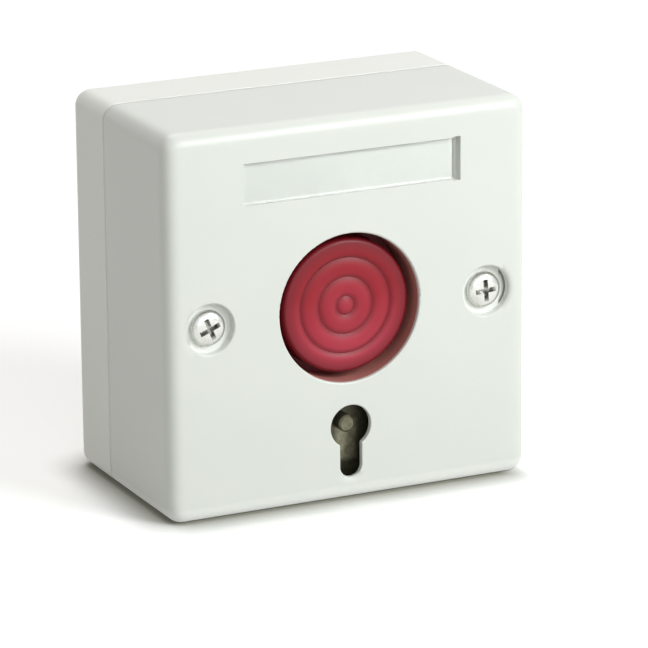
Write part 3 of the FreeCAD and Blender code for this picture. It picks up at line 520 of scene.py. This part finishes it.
# painted light and shade: the strip stays lit, and the rest takes the dark tone
lightStripLook = {"middle": 1.5 * mm, "half": 1.8 * mm, "low": 8.0 * mm, "high": 15.5 * mm,
             "soft": 1.2 * mm, "share": 0.75, "tone": rgb(52, 50, 38)}


def paintedLightStrip(tree, tone):
    # painted light: a strip of the lock plate under its post is painted lit, and the rest is painted
    # in shade
    look = lightStripLook
    place = splitPlace(tree, objectPlace(tree))
    shifted = addMath(tree, "SUBTRACT", (150, 700), place["X"], look["middle"])
    aside = addMath(tree, "ABSOLUTE", (300, 700), shifted)
    across = fitRange(tree, (450, 700), aside, look["half"], look["half"] + look["soft"])
    above = fitRange(tree, (450, 550), place["Z"], look["high"], look["high"] + look["soft"])
    below = fitRange(tree, (450, 400), place["Z"], look["low"] - look["soft"], look["low"],
                     1.0, 0.0)
    ends = addMath(tree, "MAXIMUM", (600, 500), above, below)
    outside = addMath(tree, "MAXIMUM", (600, 650), across, ends)
    share = addMath(tree, "MULTIPLY", (700, 600), outside, look["share"])
    return mixTwo(tree, (800, 500), share, tone, look["tone"])


clearLook = {"tone": rgb(254, 254, 254), "speckTone": rgb(226, 229, 224), "roughness": 0.05,
             "duller": 0.06, "grainSize": 0.5 * mm, "cloudSize": 10 * mm, "bump": 0.05, "ior": 1.49}


def clearPlastic(name, look):
    # clear moulded plastic that lets the lamps through to the card behind it
    material, tree, surface = newMaterial(name)
    grain = useGroup(tree, mouldGrain, (-650, 200),
                     {"Vector": objectPlace(tree), "Grain Size": look["grainSize"],
                      "Cloud Size": look["cloudSize"]})
    rough = fitRange(tree, (-300, 100), grain["Cloud"], *noiseSpan, look["roughness"],
                     look["roughness"] + look["duller"])
    haze = mixTwo(tree, (-300, 300), grain["Speck"], look["tone"], look["speckTone"])
    bump = addNode(tree, "ShaderNodeBump", (0, -250),
                   {"Height": grain["Grain"], "Strength": look["bump"],
                    "Distance": look["grainSize"] * grainRelief})
    shader = addNode(tree, "ShaderNodeBsdfPrincipled", (400, 0),
                     {"Base Color": haze, "Roughness": rough, "Normal": bump.outputs["Normal"],
                      "Transmission Weight": 1.0, "IOR": look["ior"]})
    path = addNode(tree, "ShaderNodeLightPath", (400, 300))
    through = addNode(tree, "ShaderNodeBsdfTransparent", (600, -300))
    mix = addNode(tree, "ShaderNodeMixShader", (750, 100),
                  {0: path.outputs["Is Shadow Ray"], 1: shader.outputs[0], 2: through.outputs[0]})
    feed(tree, surface, mix.outputs[0])
    return material


finishes = {
    "white_cover": mouldedPlastic("coverPlastic", frontLook, paintedLightInHollows),
    "white_box": mouldedPlastic("boxPlastic", boxLook),
    "red_button": mouldedPlastic("redPlastic", redLook, capPaintedLightAndShade),
    "nylon": mouldedPlastic("naturalNylon", nylonLook),
    "black_plastic": mouldedPlastic("blackPlastic", blackLook),
    "cream_plastic": mouldedPlastic("creamPlastic", creamLook),
    "sleeve_plastic": mouldedPlastic("sleevePlastic", sleeveBounceLook),
    "label_card": mouldedPlastic("whiteCard", cardLook),
    "clear_strip": clearPlastic("clearStrip", clearLook),
    "zinc_screw": metalFinish("brightZinc", zincLook),
    "cover_screws": metalFinish("cleanZinc", headLook, paintedShadeInCrosses),
    "plated_steel": metalFinish("platedSteel", platedLook),
    "spring_steel": metalFinish("springSteel", springLook),
    "dark_steel": metalFinish("lockSteel", lockLook),
    "lock_plate": metalFinish("lockPlateSteel", plateLitLook, paintedLightStrip),
    "brass": metalFinish("turnedBrass", brassLook),
    "contact_strip": metalFinish("stripBrass", stripLook),
    "silver": metalFinish("contactSilver", silverLook),
}
slotOf = {part["node"]: part["material_slot"] for part in frame["record"]["subparts"]}


def putOnFinish(piece, node):
    # the finish that the node has to itself, or else the one of its slot
    piece.data.materials.clear()
    piece.data.materials.append(finishes.get(node) or finishes[slotOf[node]])


for node, piece in frame["nodes"].items():
    putOnFinish(piece, node)
print("finishes made:", len(finishes))


# Helpers for shaping pieces

weldGap = 0.002 * mm
sharpAngle = math.radians(50)
replaced = []


def letGo():
    if bpy.context.object and bpy.context.object.mode != "OBJECT":
        bpy.ops.object.mode_set(mode="OBJECT")
    bpy.ops.object.select_all(action="DESELECT")


def takeUp(piece):
    letGo()
    piece.select_set(True)
    bpy.context.view_layer.objects.active = piece


def openMesh(piece):
    takeUp(piece)
    bpy.ops.object.mode_set(mode="EDIT")
    bpy.ops.mesh.select_mode(type="VERT")
    bpy.ops.mesh.select_all(action="SELECT")


def closeMesh():
    bpy.ops.object.mode_set(mode="OBJECT")


def pick(piece, kind, test):
    # selects only the edges or faces that pass the test
    bpy.ops.mesh.select_mode(type=kind)
    bpy.ops.mesh.select_all(action="DESELECT")
    mesh = bmesh.from_edit_mesh(piece.data)
    for part in {"EDGE": mesh.edges, "FACE": mesh.faces}[kind]:
        if test(part):
            part.select_set(True)
    mesh.select_flush(True)
    bmesh.update_edit_mesh(piece.data)


def pickAlong(piece, axis, least):
    # the edges that run along an axis
    pick(piece, "EDGE",
         lambda edge: abs(getattr(edge.verts[0].co - edge.verts[1].co, axis)) > least)


def useModifier(piece, kind, **settings):
    takeUp(piece)
    modifier = piece.modifiers.new(kind.lower(), kind)
    for setting, value in settings.items():
        setattr(modifier, setting, value)
    bpy.ops.object.modifier_apply(modifier=modifier.name)


def bevelSharp(piece, width):
    useModifier(piece, "BEVEL", width=width, segments=1, limit_method="ANGLE",
                angle_limit=sharpAngle)


def cutWith(piece, cutter):
    useModifier(piece, "BOOLEAN", operation="DIFFERENCE", solver="EXACT", object=cutter)
    bpy.data.objects.remove(cutter, do_unlink=True)


def joinPieces(piece, others):
    takeUp(piece)
    for other in others:
        other.select_set(True)
    bpy.ops.object.join()
    return piece


def cleanMesh(piece):
    openMesh(piece)
    bpy.ops.mesh.remove_doubles(threshold=weldGap)
    bpy.ops.mesh.normals_make_consistent(inside=False)
    closeMesh()


def finishPiece(piece, node, body, angle=30):
    # the place goes into the mesh, the finish is put on, and the piece stands for its node
    takeUp(piece)
    bpy.ops.object.transform_apply(location=True, rotation=True, scale=True)
    bpy.ops.object.shade_smooth_by_angle(angle=math.radians(angle))
    putOnFinish(piece, node)
    if node not in replaced:
        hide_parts(node)
        replaced.append(node)
    if body:
        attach(piece, body)


def drawnLine(name, points):
    # one corner, drawn out point by point
    letGo()
    bpy.ops.mesh.primitive_plane_add(size=mm, location=(0, 0, 0))
    piece = bpy.context.object
    piece.name = name
    openMesh(piece)
    bpy.ops.mesh.merge(type="CENTER")
    bpy.ops.transform.translate(value=points[0])
    for here, there in zip(points, points[1:]):
        step = [b - a for a, b in zip(here, there)]
        bpy.ops.mesh.extrude_region_move(TRANSFORM_OT_translate={"value": step})
    return piece


def turnedPiece(name, profile, x, z, steps):
    # (radius, y) points drawn as a line, then spun about an axis along Y
    piece = drawnLine(name, [(x + radius, y, z) for radius, y in profile])
    bpy.ops.mesh.select_all(action="SELECT")
    bpy.ops.mesh.spin(steps=steps, angle=turn, center=(x, 0, z), axis=(0, 1, 0))
    cleanMesh(piece)
    return piece


def blockPiece(name, low, high):
    # a cube stretched between two corners
    letGo()
    bpy.ops.mesh.primitive_cube_add(size=1, location=[(a + b) / 2 for a, b in zip(low, high)],
                                    scale=[b - a for a, b in zip(low, high)])
    piece = bpy.context.object
    piece.name = name
    bpy.ops.object.transform_apply(location=True, rotation=True, scale=True)
    return piece


def turnMesh(piece, angle, axis, centre):
    openMesh(piece)
    bpy.ops.transform.rotate(value=angle, orient_axis=axis, center_override=centre)
    closeMesh()


# The red cap with its rings

capLook = {
    "radius": 15.0 * mm, "grooves": 3, "depth": 0.5 * mm, "valley": 0.18 * mm,
    "rimRounding": 1.1 * mm, "rimDip": 0.12 * mm, "flange": 1.8 * mm, "wall": 2.2 * mm,
    "skirt": 1.8 * mm, "edge": 0.15 * mm, "socket": 5.6 * mm, "bore": 4.0 * mm,
    "socketLength": 4.8 * mm, "ribs": 6, "ribStart": 7.6 * mm, "ribWidth": 1.0 * mm,
    "ribHeight": 2.0 * mm, "ribBite": 0.3 * mm, "points": 8, "steps": 120,
}


def crownPoints(front, left, right):
    # the round crown between two grooves, which stops short of them for a rounded valley
    look = capLook
    half = (right - left) / 2
    radius = (half ** 2 + look["depth"] ** 2) / (2 * look["depth"])
    points = []
    for step in range(look["points"] + 1):
        offset = (half - look["valley"]) * (2 * step / look["points"] - 1)
        points.append((left + half + offset, front + radius - math.sqrt(radius ** 2 - offset ** 2)))
    return points


def rimPoints(front, left):
    # the last crown, which rolls over into the side of the cap
    look = capLook
    start = look["radius"] - look["rimRounding"]
    points = [point for point in crownPoints(front, left, start) if point[0] < (left + start) / 2]
    for step in range(look["points"] + 1):
        share = step / look["points"]
        points.append(((left + start) / 2 + (start - left) / 2 * share,
                       front + look["rimDip"] * share * share))
    for step in range(1, look["points"] + 1):
        angle = step / look["points"] * turn / 4
        points.append((start + look["rimRounding"] * math.sin(angle),
                       front + look["rimDip"] + look["rimRounding"] * (1 - math.cos(angle))))
    return points


def makeCap():
    look = capLook
    low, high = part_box("button_cap")
    x = (low.x + high.x) / 2
    z = (low.z + high.z) / 2
    outer = (high.x - low.x) / 2
    flange = high.y - look["flange"]
    inside = look["radius"] - look["skirt"]
    ceiling = low.y + look["wall"]
    edge = look["edge"]
    first = capRings["first"]
    pitch = capRings["pitch"]
    profile = [point for point in crownPoints(low.y, -first, first) if point[0] > weldGap]
    profile.insert(0, (0.0, low.y))
    for index in range(look["grooves"] - 1):
        left = first + index * pitch
        profile.append((left, low.y + look["depth"]))
        profile += crownPoints(low.y, left, left + pitch)
    last = first + (look["grooves"] - 1) * pitch
    profile.append((last, low.y + look["depth"]))
    profile += rimPoints(low.y, last)
    profile += [(look["radius"], flange - edge), (look["radius"] + edge, flange)]
    profile += [(outer - edge, flange), (outer, flange + edge)]
    profile += [(outer, high.y - edge), (outer - edge, high.y)]
    profile += [(inside + edge, high.y), (inside, high.y - edge)]
    profile += [(inside, ceiling + edge), (inside - edge, ceiling), (look["socket"], ceiling)]
    profile += [(look["socket"], ceiling + look["socketLength"])]
    profile += [(look["bore"], ceiling + look["socketLength"]), (look["bore"], ceiling)]
    profile.append((0.0, ceiling))
    cap = turnedPiece("red_cap", profile, x, z, look["steps"])
    half = look["ribWidth"] / 2
    ribs = []
    for index in range(look["ribs"]):
        rib = blockPiece("cap_rib", (x + look["ribStart"], ceiling - look["ribBite"], z - half),
                         (x + inside + look["ribBite"], ceiling + look["ribHeight"], z + half))
        turnMesh(rib, index * turn / look["ribs"], "Y", (x, 0, z))
        ribs.append(rib)
    joinPieces(cap, ribs)
    finishPiece(cap, "button_cap", "button", 42)


# Screws: each kind is modelled with a cross recess and a wound thread

screwLooks = {
    "cover_screws": {"head": 4.0, "height": 1.9, "shank": 2.0, "length": 36.0, "pitch": 0.7,
                     "front": True, "turns": (22, 4), "spots": ((0, 0), (1, 0)), "steps": 64},
    "frame_screws": {"head": 2.8, "height": 1.9, "shank": 1.4, "length": 7.0, "pitch": 0.9,
                     "front": False, "turns": (15, 40, 65, 90),
                     "spots": ((0, 0), (0, 1), (1, 0), (1, 1)), "steps": 32},
    "lock_screws": {"head": 1.6, "height": 0.9, "shank": 0.9, "length": 3.0, "pitch": 0.4,
                    "front": True, "turns": (0, 30), "spots": ((0, 1), (0, 0)), "steps": 32},
    "switch_screws": {"head": 2.6, "height": 1.6, "shank": 1.2, "length": 9.0, "pitch": 0.8,
                      "front": False, "turns": (-35, 35), "spots": ((0, 0), (1, 0)), "steps": 32},
    "terminal_screws": {"head": 2.8, "height": 1.7, "shank": 1.5, "length": 5.0, "pitch": 0.6,
                        "front": False, "turns": (-32, 10, 52), "middleRise": 0.65,
                        "spots": ((0, 0), (0.5, 0), (1, 0)), "steps": 40},
}
# Shares of the head, of the shank's radius or of the pitch, and where the thread starts
headShape = {"flat": 0.42, "dome": 0.78, "rim": 0.06, "foot": 0.97, "tip": 0.35, "steps": 8}
threadShape = {"depth": 0.16, "bite": 0.06, "crestFrom": 0.45, "crestTo": 0.55, "steps": 18,
               "start": 0.5 * mm}
crossShape = {"arm": 0.8, "half": 0.17, "floor": 0.7, "taper": 0.5}


def headProfile(look, seat):
    # the rounded crown of the head, its edge, and the core of the shank down to the tip
    shape = headShape
    radius = look["head"] * mm
    height = look["height"] * mm
    top = seat - height
    core = look["shank"] * mm * (1 - threadShape["depth"])
    tip = seat + look["length"] * mm
    points = [(0.0, top), (radius * shape["flat"], top)]
    for step in range(1, shape["steps"] + 1):
        angle = step / shape["steps"] * turn / 4
        points.append((radius * (shape["flat"] + (1 - shape["flat"]) * math.sin(angle)),
                       top + shape["dome"] * height * (1 - math.cos(angle))))
    points += [(radius, seat - shape["rim"] * height), (radius * shape["foot"], seat)]
    points += [(core, seat), (core, tip - core), (core * shape["tip"], tip), (0.0, tip)]
    return points


def makeThread(look, x, seat, z):
    # a V-shaped ridge wound round the shank with the screw modifier
    shape = threadShape
    pitch = look["pitch"] * mm
    crest = look["shank"] * mm
    root = crest * (1 - shape["depth"] - shape["bite"])
    start = seat + shape["start"]
    end = seat + look["length"] * mm - crest
    thread = drawnLine("thread", [(root, 0, 0), (crest, shape["crestFrom"] * pitch, 0),
                                  (crest, shape["crestTo"] * pitch, 0), (root, pitch, 0)])
    closeMesh()
    useModifier(thread, "SCREW", axis="Y", angle=turn, screw_offset=pitch,
                iterations=int((end - start) / pitch), steps=shape["steps"],
                render_steps=shape["steps"])
    openMesh(thread)
    bpy.ops.transform.translate(value=(x, start, z))
    closeMesh()
    return thread


def cutCross(screw, look, x, top, z, degrees):
    # two blades that narrow towards the bottom of the recess
    arm = look["head"] * mm * crossShape["arm"]
    half = look["head"] * mm * crossShape["half"]
    floor = top + look["height"] * mm * crossShape["floor"]
    for wide, tall in ((arm, half), (half, arm)):
        blade = blockPiece("blade", (x - wide, top - mm, z - tall), (x + wide, floor, z + tall))
        openMesh(blade)
        pick(blade, "FACE", lambda face: face.calc_center_median().y > floor - weldGap)
        bpy.ops.transform.resize(value=(crossShape["taper"], 1, crossShape["taper"]),
                                 center_override=(x, floor, z))
        turnMesh(blade, math.radians(degrees), "Y", (x, 0, z))
        cutWith(screw, blade)


def makeScrews(node):
    look = screwLooks[node]
    low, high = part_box(node)
    radius = look["head"] * mm
    height = look["height"] * mm
    made = []
    for spot, degrees in zip(look["spots"], look["turns"]):
        x = low.x + radius + (high.x - low.x - 2 * radius) * spot[0]
        z = low.z + radius + (high.z - low.z - 2 * radius) * spot[1]
        if look["front"]:
            seat = low.y + height
        else:
            # made facing forwards, and turned round below; a middle screw reaches furthest back
            seat = height - high.y
            if spot[0] != 0.5:
                seat += look.get("middleRise", 0) * mm
        screw = turnedPiece("screw", headProfile(look, seat), x, z, look["steps"])
        cutCross(screw, look, x, seat - height, z, degrees)
        joinPieces(screw, [makeThread(look, x, seat, z)])
        if not look["front"]:
            turnMesh(screw, turn / 2, "Z", (x, 0, z))
        made.append(screw)
    screws = joinPieces(made[0], made[1:])
    screws.name = node.replace("screws", "screw_set")
    finishPiece(screws, node, "case", 32)


# Coil springs, wound with the screw modifier and ground flat at both ends

springLooks = {
    "return_spring": {"wire": 0.55 * mm, "turns": 4.5, "axis": "Y", "body": "button"},
    "slide_spring": {"wire": 0.25 * mm, "turns": 7, "axis": "Z", "body": "release"},
}
coilShape = {"steps": 36, "wireSteps": 12}


def makeSpring(node):
    look = springLooks[node]
    low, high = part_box(node)
    along = "XYZ".index(look["axis"])
    start = (low + high) / 2
    end = start.copy()
    start[along] = high[along]
    end[along] = low[along]
    radius = (high.x - low.x) / 2 - look["wire"]
    letGo()
    bpy.ops.mesh.primitive_circle_add(vertices=coilShape["wireSteps"], radius=look["wire"],
                                      location=(radius, 0, 0),
                                      rotation=(turn / 4 if look["axis"] == "Z" else 0, 0, 0))
    spring = bpy.context.object
    spring.name = node.replace("spring", "coil")
    bpy.ops.object.transform_apply(location=True, rotation=True, scale=True)
    steps = int(coilShape["steps"] * look["turns"])
    useModifier(spring, "SCREW", axis=look["axis"], angle=turn * look["turns"],
                screw_offset=high[along] - low[along], iterations=1, steps=steps,
                render_steps=steps)
    openMesh(spring)
    bpy.ops.transform.translate(value=end)
    for place, side in ((end, -1), (start, 1)):
        normal = Vector((0, 0, 0))
        normal[along] = side
        bpy.ops.mesh.select_all(action="SELECT")
        bpy.ops.mesh.bisect(plane_co=place, plane_no=normal, use_fill=True, clear_outer=True)
    cleanMesh(spring)
    finishPiece(spring, node, None, 50)
    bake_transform(spring)


# The sprung contact leaf and the three contact points

leafLook = {"cuts": 24, "hole": 1.9 * mm, "holeDrop": 3.5 * mm, "drill": 4 * mm,
            "steps": 40, "edge": 0.06 * mm, "bendStart": 60.0 * mm, "bendEnd": 46.0 * mm}
pointLook = {"radius": 1.6 * mm, "height": 0.4 * mm, "edge": 0.12 * mm, "steps": 40}


def makeLeaf():
    look = leafLook
    low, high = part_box("common_leaf")
    middle = (low + high) / 2
    leaf = blockPiece("contact_leaf", low, high)
    openMesh(leaf)
    pickAlong(leaf, "z", mm)
    bpy.ops.mesh.subdivide(number_cuts=look["cuts"])
    closeMesh()
    bpy.ops.mesh.primitive_cylinder_add(vertices=look["steps"], radius=look["hole"],
                                        depth=look["drill"],
                                        location=(middle.x, middle.y, high.z - look["holeDrop"]),
                                        rotation=(turn / 4, 0, 0))
    cutWith(leaf, bpy.context.object)
    bevelSharp(leaf, look["edge"])
    finishPiece(leaf, "common_leaf", None)
    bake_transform(leaf)


def makeContactPoints():
    # the first and last stay with the case, and the middle one travels on the leaf
    low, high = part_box("contact_rivets")
    leafLow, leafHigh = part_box("common_leaf")
    x = (low.x + high.x) / 2
    z = (low.z + high.z) / 2
    radius = pointLook["radius"]
    height = pointLook["height"]
    edge = pointLook["edge"]
    places = {"closed_point": (low.y, leafLow.y, "case"),
              "moving_point": (leafHigh.y, leafHigh.y + height, "button"),
              "open_point": (high.y - height, high.y, "case")}
    for name, (front, back, body) in places.items():
        profile = [(0.0, front), (radius - edge, front), (radius, front + edge)]
        profile += [(radius, back - edge), (radius - edge, back), (0.0, back)]
        point = turnedPiece(name, profile, x, z, pointLook["steps"])
        finishPiece(point, "contact_rivets", body)


# The card under the clear strip, a little behind it

cardCut = {"gap": 0.05 * mm, "corner": 0.5 * mm, "cornerSteps": 4, "edge": 0.03 * mm}


def makeCard():
    low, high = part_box("label_card")
    low.y += cardCut["gap"]
    card = blockPiece("label_paper", low, high)
    openMesh(card)
    pickAlong(card, "y", 0.1 * mm)
    bpy.ops.mesh.bevel(offset=cardCut["corner"], segments=cardCut["cornerSteps"])
    closeMesh()
    bevelSharp(card, cardCut["edge"])
    finishPiece(card, "label_card", "case")


makeCard()
print("card made")
makeCap()
print("cap made")
for screwNode in screwLooks:
    makeScrews(screwNode)
print("screws made:", len(screwLooks), "kinds")
for springNode in springLooks:
    makeSpring(springNode)
makeLeaf()
makeContactPoints()
print("springs, leaf and contact points made")


# Floor, light and camera

floorLook = {"size": 6.0, "seenTone": rgb(250, 250, 249), "litTone": rgb(190, 190, 187),
             "lift": 0.32, "contactReach": 11 * mm, "contactDeep": 0.4, "contactFree": 0.95,
             "contactTone": rgb(146, 144, 134), "contactLift": 0.1, "rightStart": 37 * mm,
             "rightEnd": 44 * mm}
lightLook = {
    "key": {"turn": 32, "rise": 29, "distance": 0.75, "size": 0.36, "power": 3.8,
            "tone": (0.95, 1.0, 0.99)},
    "front": {"turn": -8, "rise": 20, "distance": 1.3, "size": 0.9, "power": 2.95,
              "tone": (0.945, 1.0, 0.99)},
    "top": {"turn": 175, "rise": 58, "distance": 1.2, "size": 0.8, "power": 4.1,
            "tone": (1.0, 0.965, 0.96)},
    "side": {"turn": -112, "rise": 16, "distance": 0.55, "size": 0.4, "power": 0.1,
             "tone": (1.0, 0.99, 0.96)},
}
skyLook = {"tone": (1.0, 0.993, 0.97), "strength": 0.345}
viewLook = {"turn": -25.37, "rise": 16.4, "roll": -0.51, "distance": 1.024,
            "aim": (0.00579, 0.0, 0.03231), "lens": 256.9, "sensor": 36, "near": 0.02, "far": 20}


def awayFrom(turnDegrees, riseDegrees):
    # the direction towards a viewer at an azimuth and an elevation
    azimuth = math.radians(turnDegrees)
    elevation = math.radians(riseDegrees)
    return Vector((math.sin(azimuth) * math.cos(elevation),
                   -math.cos(azimuth) * math.cos(elevation), math.sin(elevation)))


def seenDirectly(tree, place):
    # 1 for the camera, for mirrors and for glass, 0 for soft light, also through glass
    path = addNode(tree, "ShaderNodeLightPath", place).outputs
    both = addMath(tree, "ADD", (place[0] + 200, place[1]), path["Is Camera Ray"],
                   path["Is Glossy Ray"], True)
    direct = addMath(tree, "ADD", (place[0] + 400, place[1]), both, path["Is Transmission Ray"],
                     True)
    first = addMath(tree, "LESS_THAN", (place[0] + 400, place[1] - 200), path["Diffuse Depth"], 0.5)
    return addMath(tree, "MULTIPLY", (place[0] + 600, place[1]), direct, first)


def makeFloor():
    # soft light meets a darker floor than the camera does, and only the camera sees the shade
    # close to the box, which ends before its right side
    look = floorLook
    material, tree, surface = newMaterial("studioFloor")
    near = addNode(tree, "ShaderNodeAmbientOcclusion", (-700, -100),
                   {"Distance": look["contactReach"]}, samples=12)
    free = fitRange(tree, (-500, -100), near.outputs["AO"], look["contactDeep"],
                    look["contactFree"])
    path = addNode(tree, "ShaderNodeLightPath", (-700, -400))
    bounced = addMath(tree, "SUBTRACT", (-500, -400), 1.0, path.outputs["Is Camera Ray"])
    right = fitRange(tree, (-500, -600), splitPlace(tree, objectPlace(tree))["X"],
                     look["rightStart"], look["rightEnd"])
    lighter = addMath(tree, "MAXIMUM", (-440, -350), free, bounced)
    clear = addMath(tree, "MAXIMUM", (-380, -250), lighter, right)
    seenTone = mixTwo(tree, (-250, 0), clear, look["contactTone"], look["seenTone"])
    lift = fitRange(tree, (-250, 200), clear, 0.0, 1.0, look["contactLift"], look["lift"])
    lit = addNode(tree, "ShaderNodeBsdfDiffuse", (0, -200), {"Color": look["litTone"]})
    seen = addNode(tree, "ShaderNodeBsdfDiffuse", (0, 0), {"Color": seenTone})
    glow = addNode(tree, "ShaderNodeEmission", (0, 150), {"Color": seenTone, "Strength": lift})
    bright = addNode(tree, "ShaderNodeAddShader", (250, 50),
                     {0: seen.outputs[0], 1: glow.outputs[0]})
    mix = addNode(tree, "ShaderNodeMixShader", (550, 0),
                  {0: seenDirectly(tree, (-400, 350)), 1: lit.outputs[0], 2: bright.outputs[0]})
    feed(tree, surface, mix.outputs[0])
    bpy.ops.mesh.primitive_plane_add(size=look["size"], location=(0, 0, cadBox[0].z))
    floor = bpy.context.object
    floor.name = "studio_floor"
    floor.data.materials.append(material)


def makeSky():
    world = bpy.data.worlds.new("studioSky")
    bpy.context.scene.world = world
    world.use_nodes = True
    tree = world.node_tree
    tree.nodes.clear()
    output = addNode(tree, "ShaderNodeOutputWorld", (800, 0))
    soft = addNode(tree, "ShaderNodeBackground", (0, -150),
                   {"Color": (*skyLook["tone"], 1.0), "Strength": skyLook["strength"]})
    seen = addNode(tree, "ShaderNodeBackground", (0, 50), {"Color": (1, 1, 1, 1), "Strength": 1.0})
    mix = addNode(tree, "ShaderNodeMixShader", (550, 0),
                  {0: seenDirectly(tree, (-400, 300)), 1: soft.outputs[0], 2: seen.outputs[0]})
    feed(tree, output.inputs["Surface"], mix.outputs[0])


def makeLamps():
    centre = Vector((0, 0, (cadBox[0].z + cadBox[1].z) / 2))
    for name, look in lightLook.items():
        direction = awayFrom(look["turn"], look["rise"])
        bpy.ops.object.light_add(type="AREA", location=centre + direction * look["distance"])
        lamp = bpy.context.object
        lamp.name = name + "_lamp"
        lamp.rotation_euler = direction.to_track_quat("Z", "Y").to_euler()
        lamp.data.shape = "DISK"
        lamp.data.size = look["size"]
        lamp.data.energy = look["power"]
        lamp.data.color = look["tone"]


def makeCamera():
    direction = awayFrom(viewLook["turn"], viewLook["rise"])
    place = Vector(viewLook["aim"]) + direction * viewLook["distance"]
    bpy.ops.object.camera_add(location=place)
    camera = bpy.context.object
    camera.name = "photo_view"
    facing = direction.to_track_quat("Z", "Y").to_matrix()
    rolled = facing @ Matrix.Rotation(math.radians(viewLook["roll"]), 3, "Z")
    camera.rotation_euler = rolled.to_euler()
    camera.data.lens = viewLook["lens"]
    camera.data.sensor_width = viewLook["sensor"]
    camera.data.clip_start = viewLook["near"]
    camera.data.clip_end = viewLook["far"]
    bpy.context.scene.camera = camera


makeFloor()
makeSky()
makeLamps()
makeCamera()
bpy.context.scene.view_settings.view_transform = "Standard"
print("stage set")
